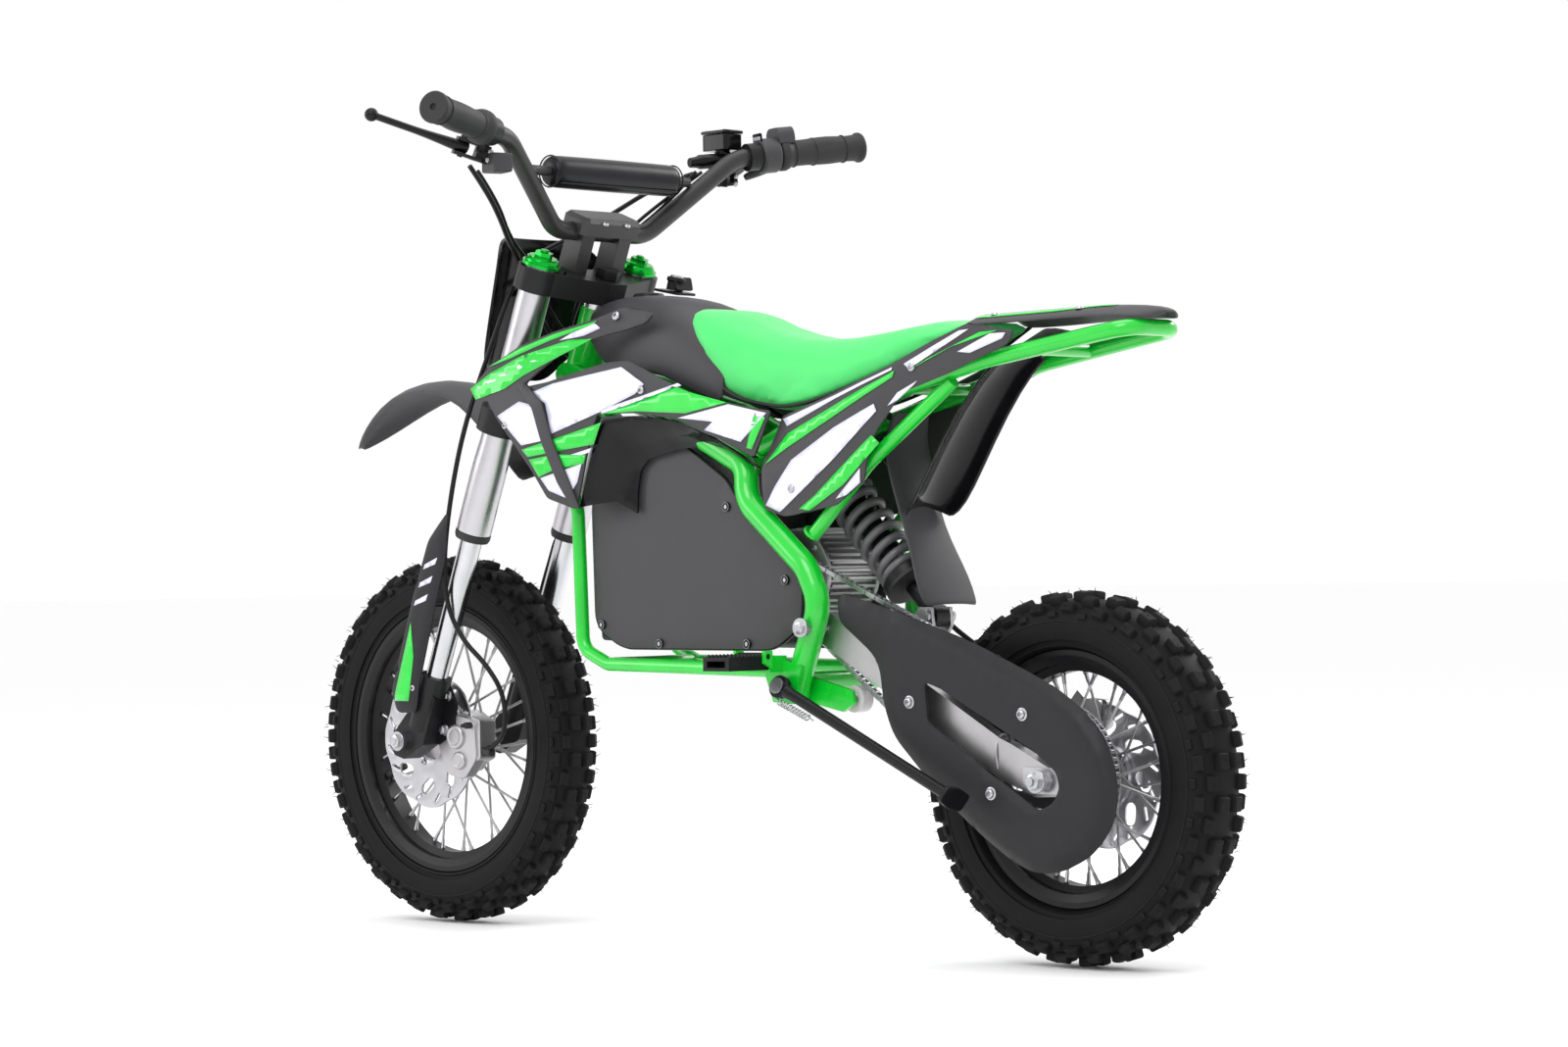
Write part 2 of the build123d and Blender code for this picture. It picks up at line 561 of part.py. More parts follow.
PLATE_TOP = (846.0, 836.0)
PLATE_LOW = (886.0, 668.0)
plate_run = Vector(PLATE_LOW[0] - PLATE_TOP[0], 0, PLATE_LOW[1] - PLATE_TOP[1])
PLATE_PLANE = Plane(origin=at(PLATE_TOP[0], 0, PLATE_TOP[1]), x_dir=(0, 1, 0), z_dir=plate_run)
with BuildPart() as number_plate:
    with BuildSketch(PLATE_PLANE):
        with BuildLine():
            Polyline((-88, -38), (-70, 0), (-40, 12), (40, 12), (70, 0), (88, -38), (85, -40), (67, -3),
                     (39, 8), (-39, 8), (-67, -3), (-85, -40), close=True)
        make_face()
    extrude(amount=plate_run.length)
    with BuildSketch(Plane(origin=at(0, 0, 0), x_dir=(0, 1, 0), z_dir=(1, 0, 0))):
        with BuildLine():
            Polyline((-90, 812), (-60, 838), (60, 838), (90, 812), (78, 704), (50, 664), (-50, 664),
                     (-78, 704), close=True)
        make_face()
    extrude(amount=1200, mode=Mode.INTERSECT)
    for side in (1, -1):
        plate(side_plane(side * 40 + 4), ((777, 790), (872, 772), (876, 758), (777, 774)), 8)
save(number_plate, "number_plate")

with BuildPart() as front_fender:
    with BuildSketch(side_plane(60)):
        with BuildLine():
            Spline((1182, 590), (1120, 642), (1044, 671), (960, 666), (880, 610), (822, 548))
            Line((822, 548), (826, 545))
            Spline((826, 545), (882, 606), (962, 662), (1044, 667), (1118, 638), (1180, 586))
            Line((1180, 586), (1182, 590))
        make_face()
    extrude(amount=120)
    with BuildSketch(Plane(origin=(REAR_X, 0, 500))):
        with BuildLine():
            Polyline((1183, 6), (1120, 40), (1044, 52), (900, 50), (796, 44), (796, -44), (900, -50),
                     (1044, -52), (1120, -40), (1183, -6), close=True)
        make_face()
    extrude(amount=220, mode=Mode.INTERSECT)
save(front_fender, "front_fender")

# ---------------------------------------------------------------- fork lower half
with BuildPart(STEER.offset(-560)) as stanchions:
    with Locations(*[(x, y, 0) for x, y in LEG_SPOTS]):
        Cylinder(STANCHION_R, 350, align=(Align.CENTER, Align.CENTER, Align.MIN))
save(stanchions, "stanchions")

FRONT_AXLE = Vector(FRONT_X, 0, FRONT_TYRE_R)


def leg_foot(side):
    """Fork foot: a socket round the stanchion, widening into the axle boss."""
    with BuildSketch(STEER.offset(-592)) as socket:
        with Locations((FORK_OFFSET, side * FORK_HALF)):
            Circle(19)
    extrude(socket.sketch, amount=68)
    axle = Plane(origin=FRONT_AXLE + Vector(0, side * FORK_HALF + 13, 0), x_dir=STEER.x_dir,
                 z_dir=(0, -1, 0))
    with BuildSketch(axle) as boss:
        with BuildLine():
            Polyline((18, 6), (20, -12), (8, -22), (-10, -20), (-36, 10), (-36, 70), (3, 92), (3, 40),
                     close=True)
        make_face()
        fillet(boss.vertices(), 5)
    extrude(boss.sketch, amount=26)
    with BuildSketch(STEER.offset(-560)) as bore:
        with Locations((FORK_OFFSET, side * FORK_HALF)):
            Circle(STANCHION_R + 0.05)
    extrude(bore.sketch, amount=80, mode=Mode.SUBTRACT)
    bar(FRONT_AXLE + Vector(0, side * 60, 0), FRONT_AXLE + Vector(0, side * 100, 0), 6.05,
        mode=Mode.SUBTRACT)


with BuildPart() as fork_feet:
    plate(side_plane(68.3), ((1000, 262), (975, 296), (946, 300), (930, 272), (934, 236), (960, 222),
                             (984, 222)), 4)
    leg_foot(1)
    leg_foot(-1)
save(fork_feet, "fork_feet")

GUARD_OUTLINE = ((899, 506), (935, 471), (965, 401), (1006, 288), (996, 262), (962, 262), (955, 300),
                 (925, 392), (905, 450))
with BuildPart() as fork_guards:
    for face in (107, -104):
        plate(side_plane(face), GUARD_OUTLINE, 3)
save(fork_guards, "fork_guards")

with BuildPart() as front_axle:
    bar(FRONT_AXLE + Vector(0, -104, 0), FRONT_AXLE + Vector(0, 104, 0), 6)
    for side in (1, -1):
        with BuildSketch(Plane(origin=FRONT_AXLE + Vector(0, side * 92.3, 0), x_dir=(1, 0, 0),
                               z_dir=(0, side, 0))):
            RegularPolygon(10.5, 6)
        extrude(amount=9)
        bar(FRONT_AXLE + Vector(0, side * 48.4, 0), FRONT_AXLE + Vector(0, side * 65.7, 0), 10, bore=6.05)
save(front_axle, "front_axle")

with BuildPart() as front_caliper:
    plate(side_plane(64), ((898, 258), (950, 268), (968, 226), (950, 180), (916, 176), (892, 206)), 14,
          corner=6)
    plate(side_plane(44.6), ((900, 250), (946, 256), (960, 226), (946, 190), (916, 186), (898, 208)), 7,
          corner=5)
    plate(side_plane(64), ((892, 252), (892, 206), (904, 200), (908, 256)), 26)
save(front_caliper, "front_caliper")


# ---------------------------------------------------------------- wheels
def wheel_plane(x, radius):
    """Plane at a wheel's centre with its normal along the axle, to the left."""
    return Plane(origin=(x, 0, radius), x_dir=(1, 0, 0), z_dir=(0, 1, 0))


def tyre(x, radius, half, bead, flat):
    """Hollow tyre carcass with a flat crown band, its beads seated on the rim."""
    mid = (radius + bead) / 2 + 4
    outer = ((bead + 0.1, RIM_HALF_W - 5.5), (bead + 4, RIM_HALF_W - 4.4), (bead + 11.5, RIM_HALF_W - 3.3),
             (bead + 14, RIM_HALF_W + 1), (bead + 26, half - 3), (mid, half),
             (mid + 20, half - 1), (radius - 9, half - 6), (radius, flat))
    inner = ((radius - 12, 10), (radius - 20, half - 16), (mid, half - 7), (bead + 16, half - 12),
             (bead + 6, RIM_HALF_W - 12), (bead + 0.1, RIM_HALF_W - 12))
    left = list(outer) + [(radius, -flat)] + [(r, -w) for r, w in reversed(outer[:-1])]
    right = [(r, -w) for r, w in reversed(inner)] + list(inner)
    ring(wheel_plane(x, radius), left + right)


def rim(x, radius, flange, bead):
    """Drop-centre rim of even wall."""
    half = RIM_HALF_W
    outer = ((flange, half), (flange, half - 3), (bead + 4, half - 3.9), (bead - 0.2, half - 5),
             (bead - 0.8, 12), (bead - 9, 9))
    inner = ((bead - 12, 10), (bead - 4, 14), (bead - 4, half - 3), (flange - 6, half))
    left = list(outer) + [(r, -w) for r, w in reversed(outer)]
    right = [(r, -w) for r, w in reversed(inner)] + list(inner)
    ring(wheel_plane(x, radius), left + right)


def hub_and_spokes(x, radius, bead, flange_r, flange_y, bore, count):
    """Hub shell with two spoke flanges, and spokes laced both ways to the rim."""
    plane = wheel_plane(x, radius)
    ring(plane, ((bore, -36), (24, -36), (24, -flange_y - 2), (flange_r, -flange_y - 2),
                 (flange_r, -flange_y + 2), (19, -flange_y + 6), (19, flange_y - 6),
                 (flange_r, flange_y - 2), (flange_r, flange_y + 2), (24, flange_y + 2), (24, 36),
                 (bore, 36)))
    for index in range(count):
        side = 1 if index % 2 else -1
        lean = 26 if (index // 2) % 2 else -26
        angle = 360 / count * index
        low = Vector(flange_r - 4, 0, side * flange_y).rotate(Axis.Z, angle + lean)
        high = Vector(bead - 12.6, 0, side * 5).rotate(Axis.Z, angle)
        bar(plane.from_local_coords(low), plane.from_local_coords(high), 1.6)


def wave_disc(x, radius, y, outer, inner, thick):
    """Brake disc with a waved rim, a carrier ring and round windows."""
    plane = Plane(origin=(x, y, radius), x_dir=(1, 0, 0), z_dir=(0, 1, 0))
    with BuildSketch(plane) as face:
        Circle(outer - 4)
        with PolarLocations(outer - 12, 8):
            Circle(12)
        Circle(inner, mode=Mode.SUBTRACT)
        with PolarLocations((outer + inner) / 2 + 2, 8, start_angle=22.5):
            Circle(8, mode=Mode.SUBTRACT)
    extrude(face.sketch, amount=thick)


with BuildPart() as front_tyre:
    tyre(FRONT_X, FRONT_TYRE_R, FRONT_TYRE_HALF_W, FRONT_RIM_R - 11, 15)
save(front_tyre, "front_tyre")

with BuildPart() as front_rim:
    rim(FRONT_X, FRONT_TYRE_R, FRONT_RIM_R, FRONT_RIM_R - 11)
save(front_rim, "front_rim")

with BuildPart() as front_hub:
    hub_and_spokes(FRONT_X, FRONT_TYRE_R, FRONT_RIM_R - 11, 34, 27, 6.05, 32)
save(front_hub, "front_hub")

with BuildPart() as front_disc:
    wave_disc(FRONT_X, FRONT_TYRE_R, 45, 80, 24.3, 3)
    wave_disc(FRONT_X, FRONT_TYRE_R, 36.3, 34, 24.3, 3)
    with BuildSketch(Plane(origin=(FRONT_X, 36.3, FRONT_TYRE_R), x_dir=(1, 0, 0), z_dir=(0, 1, 0))):
        with PolarLocations(29, 4):
            Circle(4)
    extrude(amount=10)
save(front_disc, "front_disc")

with BuildPart() as rear_tyre:
    tyre(REAR_X, REAR_TYRE_R, REAR_TYRE_HALF_W, REAR_RIM_R - 11, 17)
save(rear_tyre, "rear_tyre")

with BuildPart() as rear_rim:
    rim(REAR_X, REAR_TYRE_R, REAR_RIM_R, REAR_RIM_R - 11)
save(rear_rim, "rear_rim")

with BuildPart() as rear_hub:
    hub_and_spokes(REAR_X, REAR_TYRE_R, REAR_RIM_R - 11, 34, 27, 6.05, 32)
save(rear_hub, "rear_hub")

with BuildPart() as rear_disc:
    wave_disc(REAR_X, REAR_TYRE_R, -39.5, 74, 24.3, 3)
save(rear_disc, "rear_disc")

SPROCKET_R = 80.0
with BuildPart() as rear_sprocket:
    with BuildSketch(Plane(origin=(REAR_X, CHAIN_Y - 2, REAR_TYRE_R), x_dir=(1, 0, 0), z_dir=(0, 1, 0))):
        Circle(SPROCKET_R - 5)
        with PolarLocations(SPROCKET_R - 7, 40):
            RegularPolygon(4.5, 3)
        Circle(14, mode=Mode.SUBTRACT)
        with PolarLocations(50, 6):
            Circle(13, mode=Mode.SUBTRACT)
    extrude(amount=4)
    bar((REAR_X, 36.3, REAR_TYRE_R), (REAR_X, CHAIN_Y - 1, REAR_TYRE_R), 22, bore=14)
save(rear_sprocket, "rear_sprocket")

# ---------------------------------------------------------------- swingarm
def arm_box(side):
    """One swingarm box tube with its slotted axle plate."""
    y = side * (ARM_IN + ARM_OUT) / 2 + (ARM_OUT - ARM_IN) / 2
    plate(side_plane(y), ((PIVOT_X + 14, PIVOT_Z + 4), (PIVOT_X - 8, PIVOT_Z + 17), (60, 246), (44, 240),
                          (-28, 206), (-28, 186), (10, 184), (66, 205), (PIVOT_X + 6, PIVOT_Z - 17)),
          ARM_OUT - ARM_IN)


with BuildPart() as swingarm:
    for side in (1, -1):
        arm_box(side)
    cross_bar(PIVOT_X, PIVOT_Z, -ARM_OUT, ARM_OUT, 15)
    cross_bar(236, 326, -ARM_OUT, ARM_OUT, 12)
    for side in (1, -1):
        plate(side_plane(side * 15.5 + 2.5), ((244, 328), (234, 352), (218, 386), (200, 386), (198, 366),
                                              (226, 322)), 5)
    cross_bar(PIVOT_X, PIVOT_Z, -ARM_OUT - 1, ARM_OUT + 1, 6.1, mode=Mode.SUBTRACT)
    cross_bar(*SHOCK_LOW, -20, 20, 5)
    for side in (1, -1):
        cross_bar(*SHOCK_LOW, side * 18, side * 24, 9)
    cross_bar(0, REAR_TYRE_R, -ARM_OUT - 1, ARM_OUT + 1, 6.05, mode=Mode.SUBTRACT)
save(swingarm, "swingarm")

with BuildPart() as rear_axle:
    cross_bar(0, REAR_TYRE_R, -AXLE_STUB, AXLE_STUB, 6)
    cross_bar(0, REAR_TYRE_R, -AXLE_END, AXLE_END, 5)
    for side in (1, -1):
        with BuildSketch(Plane(origin=(REAR_X, side * (ARM_OUT + 4.3), REAR_TYRE_R), x_dir=(1, 0, 0),
                               z_dir=(0, side, 0))):
            RegularPolygon(11, 6)
        extrude(amount=9)
        plate(Plane(origin=(REAR_X, side * (ARM_OUT + 4), REAR_TYRE_R), x_dir=(1, 0, 0),
                    z_dir=(0, -side, 0)), ((-34, -14), (-34, 14), (26, 14), (26, -14)), 3.7, corner=4)
        bar((REAR_X, side * 51.7, REAR_TYRE_R), (REAR_X, side * 48.8, REAR_TYRE_R), 12, bore=6.05)
save(rear_axle, "rear_axle")

with BuildPart() as rear_caliper:
    plate(side_plane(-43.5), ((50, 262), (24, 286), (2, 284), (0, 256), (34, 236)), 8, corner=5)
    plate(side_plane(-31), ((50, 262), (24, 286), (2, 284), (4, 262), (34, 242)), 5, corner=3)
    plate(side_plane(-31), ((59, 267), (33, 295), (23, 286), (49, 259)), 20)
save(rear_caliper, "rear_caliper")

with BuildPart() as chain_guard:
    with BuildSketch(side_plane(83)) as face:
        with BuildLine():
            Polyline((281, 404), (175, 378), (91, 351), (10, 312), (-12, 204), (40, 140), (82, 146),
                     (138, 187), (208, 250), (216, 322), (286, 380), close=True)
        make_face()
        with Locations((-12, 204)):
            Circle(98)
    extrude(face.sketch, amount=3)
    with BuildSketch(side_plane(80)) as rim_wall:
        with Locations((-12, 204)):
            Circle(98)
            Circle(95, mode=Mode.SUBTRACT)
        with Locations((90, 204)):
            Rectangle(100, 400, mode=Mode.SUBTRACT)
    extrude(rim_wall.sketch, amount=9)
    with BuildSketch(side_plane(84)) as cut:
        with BuildLine():
            Polyline((219, 341), (127, 301), (-10, 232), (-37, 210), (-29, 180), (-9, 172), (66, 212),
                     (149, 263), close=True)
        make_face()
        fillet(cut.vertices(), 7)
    extrude(cut.sketch, amount=20, mode=Mode.SUBTRACT)
save(chain_guard, "chain_guard")

# chain run between the sprockets, as one closed loop
FRONT_SPROCKET_R = 26.0
with BuildPart() as chain:
    with BuildSketch(side_plane(CHAIN_Y + 3)) as loop:
        with Locations((MOTOR_X, MOTOR_Z)):
            Circle(FRONT_SPROCKET_R + 5)
        with Locations((0, REAR_TYRE_R)):
            Circle(SPROCKET_R + 6)
        make_hull()
        with BuildSketch(mode=Mode.PRIVATE) as inside:
            with Locations((MOTOR_X, MOTOR_Z)):
                Circle(FRONT_SPROCKET_R - 3)
            with Locations((0, REAR_TYRE_R)):
                Circle(SPROCKET_R - 2)
            make_hull()
        add(inside.sketch, mode=Mode.SUBTRACT)
    extrude(loop.sketch, amount=6)
save(chain, "chain")

with BuildPart() as motor_sprocket:
    with BuildSketch(side_plane(CHAIN_Y + 2)):
        with Locations((MOTOR_X, MOTOR_Z)):
            Circle(FRONT_SPROCKET_R - 5)
            with PolarLocations(FRONT_SPROCKET_R - 7, 12):
                RegularPolygon(3.6, 3)
    extrude(amount=4)
    cross_bar(MOTOR_X, MOTOR_Z, 36.4, CHAIN_Y + 7, 8)
save(motor_sprocket, "motor_sprocket")

with BuildPart() as chain_roller:
    cross_bar(ROLLER_X, ROLLER_Z, 38, 54, 15, bore=5.05)
save(chain_roller, "chain_roller")

# ---------------------------------------------------------------- shock absorber
upper_eye = Vector(*at(SHOCK_TOP[0], 0, SHOCK_TOP[1]))
lower_eye = Vector(*at(SHOCK_LOW[0], 0, SHOCK_LOW[1]))
SHOCK_RUN = (upper_eye - lower_eye).normalized()
SHOCK_LENGTH = (upper_eye - lower_eye).length


def on_shock(distance):
    """Point on the shock's axis, so far above its lower eye."""
    return lower_eye + SHOCK_RUN * distance


SPRING_LOW, SPRING_HIGH = 62.0, 186.0
with BuildPart() as shock_body:
    bar(on_shock(SPRING_HIGH + 1), on_shock(SHOCK_LENGTH), 11)
    bar(on_shock(SPRING_HIGH + 1), on_shock(SPRING_HIGH + 10), 31)
    bar(on_shock(90), on_shock(SPRING_HIGH + 2), 14)
    bar(on_shock(88), on_shock(176), 7.3, mode=Mode.SUBTRACT)
    cross_bar(*SHOCK_TOP, -11, 11, 14)
    cross_bar(*SHOCK_TOP, -14, 14, 5.1, mode=Mode.SUBTRACT)
save(shock_body, "shock_body")

with BuildPart() as shock_rod:
    bar(on_shock(3), on_shock(SPRING_LOW - 9), 10)
    bar(on_shock(SPRING_LOW - 10), on_shock(SPRING_LOW - 1), 31)
    bar(on_shock(SPRING_LOW - 10), on_shock(148), 7)
    cross_bar(*SHOCK_LOW, -11, 11, 12.5)
    cross_bar(*SHOCK_LOW, -14, 14, 6.5, mode=Mode.SUBTRACT)
save(shock_rod, "shock_rod")

SPRING_R, WIRE_R, COILS = 24.5, 5.0, 6
with BuildPart() as shock_spring:
    pitch = (SPRING_HIGH - SPRING_LOW - 2 * WIRE_R) / COILS
    base = Plane(origin=on_shock(SPRING_LOW + WIRE_R), z_dir=SHOCK_RUN)
    with BuildLine() as coil:
        Helix(pitch, pitch * COILS, SPRING_R, center=base.origin, direction=SHOCK_RUN)
    with BuildSketch(Plane(origin=coil.line @ 0, z_dir=coil.line % 0)) as wire:
        Circle(WIRE_R)
    sweep(sections=wire.sketch, path=coil.line, is_frenet=True)
save(shock_spring, "shock_spring")

# ---------------------------------------------------------------- stands and pegs
with BuildPart() as kickstand:
    stand_foot = Vector(*at(*STAND_FOOT))
    stand_run = (stand_foot - stand_point(4)).normalized()
    bar(stand_point(0), stand_point(8), 13)
    bar(stand_point(4) + stand_run * 10.5, stand_foot, 6.5)
    bar(stand_foot + Vector(8, -14, 6), stand_foot + Vector(-6, 18, -6), 8)
    bar(stand_point(-5), stand_point(13), 5.05, mode=Mode.SUBTRACT)
save(kickstand, "kickstand")


def footpeg(side):
    """Folding footpeg: a tread frame with a hinge barrel and its pin."""
    inner = Plane(origin=at(PEG_X, side * 119.4, PEG_Z), x_dir=(1, 0, 0), z_dir=(0, side, 0))
    with BuildSketch(inner.offset(5)) as tread:
        Rectangle(40, 15)
        Rectangle(28, 7, mode=Mode.SUBTRACT)
    extrude(tread.sketch, amount=58)
    with BuildSketch(inner) as root:
        Rectangle(40, 15)
    extrude(root.sketch, amount=6)
    for half, radius in ((PEG_HALF, 4.5), (PEG_HALF + 4, 3)):
        bar(at(PEG_X - half, side * PEG_HINGE_Y, PEG_HINGE_Z),
            at(PEG_X + half, side * PEG_HINGE_Y, PEG_HINGE_Z), radius)


with BuildPart() as footpeg_left:
    footpeg(1)
save(footpeg_left, "footpeg_left")

with BuildPart() as footpeg_right:
    footpeg(-1)
save(footpeg_right, "footpeg_right")


# ---------------------------------------------------------------- brake hoses
HOSE_D = 6.0
FRONT_HOSE = [(752, -176, 917), (775, -134, 902), (795, -88, 872), (808, -38, 842), (813, 14, 822),
              (814, 56, 798), (812, 84, 756), (824, 97, 704), (850, 101, 650), (875, 101, 596),
              (893, 101, 540), (907, 100, 484), (914, 99, 432), (908, 98, 386), (886, 93, 348),
              (856, 86, 322), (834, 78, 288), (838, 70, 250), (860, 60, 226), (890.5, 57, 214)]
REAR_HOSE = [(728, 216, 902), (730, 186, 872), (748, 150, 844), (774, 114, 822), (794, 80, 804),
             (801, 52, 764), (806, 22, 716), (798, -16, 682), (776, -44, 672), (748, -40, 690),
             (716, -24, 704), (670, -20, 702), (612, -30, 684), (556, -40, 656), (500, -46, 614),
             (444, -48, 588), (384, -46, 578), (326, -44, 562), (290, -43, 520), (272, -43, 468),
             (262, -44, 414), (244, -52, 372), (204, -60, 343), (150, -60, 314), (104, -59, 292),
             (78, -50, 282), (61, -45, 280)]


def cord_bends(points):
    """Largest arcs for a cord: 0.45 of the shorter run over the tangent of half the turn."""
    bends = []
    for before, here, after in zip(points, points[1:], points[2:]):
        run_in = Vector(*here) - Vector(*before)
        run_out = Vector(*after) - Vector(*here)
        turn = radians(run_in.get_angle(run_out))
        bends.append(0.45 * min(run_in.length, run_out.length) / tan(turn / 2))
    return bends


def hose(points, label):
    """A brake hose along its route; prints its length, expected volume and arc radii."""
    route = [at(*point) for point in points]
    bends = cord_bends(route)
    with BuildLine() as line:
        FilletPolyline(*route, radius=bends)
    with BuildSketch(Plane(origin=line.line @ 0, z_dir=line.line % 0)) as section:
        Circle(HOSE_D / 2)
    sweep(sections=section.sketch, path=line.line)
    length = line.wire().length
    print(label, "length", round(length), "expected volume", round(pi * HOSE_D ** 2 / 4 * length))
    print(label, "radii", [round(bend) for bend in bends])


with BuildPart() as front_brake_hose:
    hose(FRONT_HOSE, "front hose")
print("front hose volume", round(front_brake_hose.part.volume))
save(front_brake_hose, "front_brake_hose")

with BuildPart() as rear_brake_hose:
    hose(REAR_HOSE, "rear hose")
print("rear hose volume", round(rear_brake_hose.part.volume))
save(rear_brake_hose, "rear_brake_hose")
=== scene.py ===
import json
import random
from math import asin, atan2, ceil, cos, hypot, pi, radians, sin

import bmesh
import bpy
from mathutils import Matrix, Vector
from mathutils.geometry import delaunay_2d_cdt


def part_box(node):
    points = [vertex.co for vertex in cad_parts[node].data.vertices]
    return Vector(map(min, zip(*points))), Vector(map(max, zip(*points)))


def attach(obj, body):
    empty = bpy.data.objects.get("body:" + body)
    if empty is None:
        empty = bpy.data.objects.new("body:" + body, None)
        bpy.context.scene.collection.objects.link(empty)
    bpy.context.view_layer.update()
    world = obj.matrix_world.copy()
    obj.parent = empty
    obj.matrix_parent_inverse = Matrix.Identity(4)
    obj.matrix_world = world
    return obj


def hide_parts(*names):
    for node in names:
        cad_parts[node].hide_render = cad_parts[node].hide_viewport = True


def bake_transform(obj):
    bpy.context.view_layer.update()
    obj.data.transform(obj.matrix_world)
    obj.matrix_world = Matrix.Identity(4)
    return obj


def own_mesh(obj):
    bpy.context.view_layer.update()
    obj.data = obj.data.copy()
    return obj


# Ride-on electric mini dirt bike. Outlines are in bike coordinates: millimetres, x forward
# from the rear axle, y to the rider's left, z above the floor.
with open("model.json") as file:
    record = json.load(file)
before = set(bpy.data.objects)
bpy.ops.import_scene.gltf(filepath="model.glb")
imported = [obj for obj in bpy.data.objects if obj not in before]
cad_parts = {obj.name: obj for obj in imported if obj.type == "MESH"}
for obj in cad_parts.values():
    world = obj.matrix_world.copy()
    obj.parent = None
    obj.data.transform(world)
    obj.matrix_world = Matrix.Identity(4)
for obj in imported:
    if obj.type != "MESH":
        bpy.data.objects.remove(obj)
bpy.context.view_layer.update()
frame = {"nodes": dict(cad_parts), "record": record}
NODES = frame["nodes"]
MM = 0.001

rear_low, rear_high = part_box("rear_tyre")
front_low, front_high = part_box("front_tyre")
REAR_X = (rear_low.x + rear_high.x) / 2
FRONT_X = (front_low.x + front_high.x) / 2
REAR_R = (rear_high.z - rear_low.z) / 2 / MM
FRONT_R = (front_high.z - front_low.z) / 2 / MM
WHEELBASE = (FRONT_X - REAR_X) / MM
REAR_HALF_W, FRONT_HALF_W = rear_high.y / MM, front_high.y / MM

RAKE = radians(21.8)
STEER_X, STEER_Z = 725.5, 779.9
FORK_OFFSET, FORK_HALF = 33.6, 79.0
MOTOR_X, MOTOR_Z = 392.0, 425.0
SHOCK_TOP, SHOCK_LOW = (370.0, 548.0), (209.0, 376.0)
GRIP_TIP, GRIP_KNEE = (636.0, 353.0, 953.0), (692.0, 188.0, 933.0)
LEVER_PIVOT, LEVER_BALL = (718.0, 236.0, 922.0), (768.0, 330.0, 957.0)
RIGHT_SLIDE = 24.0
STAND_PIVOT, STAND_FOOT = (344.0, 106.0, 298.0), (80.0, 120.0, 183.0)
STAND_AXIS = (-0.099, 0.953, 0.286)
PEG_X, PEG_Z = 372.0, 326.0
REAR_BEAD, FRONT_BEAD = 127.0, 152.5      # rim radius where the tyre sits
SPOKES = 32
CHAIN_Y, CHAIN_PITCH = 46.0, 8.0
MOTOR_WRAP, REAR_WRAP = 27.5, 82.0        # radius of the chain round each sprocket
SEAL_Z = -336.0                           # lower end of the fork tubes, steering coordinates


# ------------------------------------------------------------------ places
def at(x, y, z):
    """Bike coordinates to the row frame."""
    return Vector((REAR_X + x * MM, y * MM, z * MM))


def steer(x, y, z):
    """Steering coordinates, z up the steering axis from the top clamp, to the row frame."""
    return at(STEER_X + x * cos(RAKE) - z * sin(RAKE), y, STEER_Z + x * sin(RAKE) + z * cos(RAKE))


def along_grip(side, back):
    """Point on a handlebar end's axis, so far back from the grip's tip."""
    tip = at(GRIP_TIP[0], side * GRIP_TIP[1], GRIP_TIP[2])
    knee = at(GRIP_KNEE[0], side * GRIP_KNEE[1], GRIP_KNEE[2])
    return tip + (knee - tip).normalized() * back * MM


def on_shock(distance):
    """Point on the shock's axis, so far above its lower eye."""
    low, top = at(SHOCK_LOW[0], 0, SHOCK_LOW[1]), at(SHOCK_TOP[0], 0, SHOCK_TOP[1])
    return low + (top - low).normalized() * distance * MM


def smooth(t):
    t = min(max(t, 0.0), 1.0)
    return t * t * (3 - 2 * t)


def interp(stations, x):
    """Value at x between (x, value) stations in rising order."""
    if x <= stations[0][0]:
        return stations[0][1]
    for (x0, v0), (x1, v1) in zip(stations, stations[1:]):
        if x <= x1:
            return v0 + (v1 - v0) * (x - x0) / (x1 - x0)
    return stations[-1][1]


def b_spline(points, steps=6):
    """Points along the quadratic B-spline of a route, clamped at both ends."""
    points = [Vector(p) for p in points]
    path = [points[0]]
    for i in range(1, len(points) - 1):
        start = points[0] if i == 1 else (points[i - 1] + points[i]) / 2
        end = points[-1] if i == len(points) - 2 else (points[i] + points[i + 1]) / 2
        for k in range(1, steps + 1):
            t = k / steps
            path.append(start * (1 - t) ** 2 + points[i] * 2 * t * (1 - t) + end * t * t)
    return path


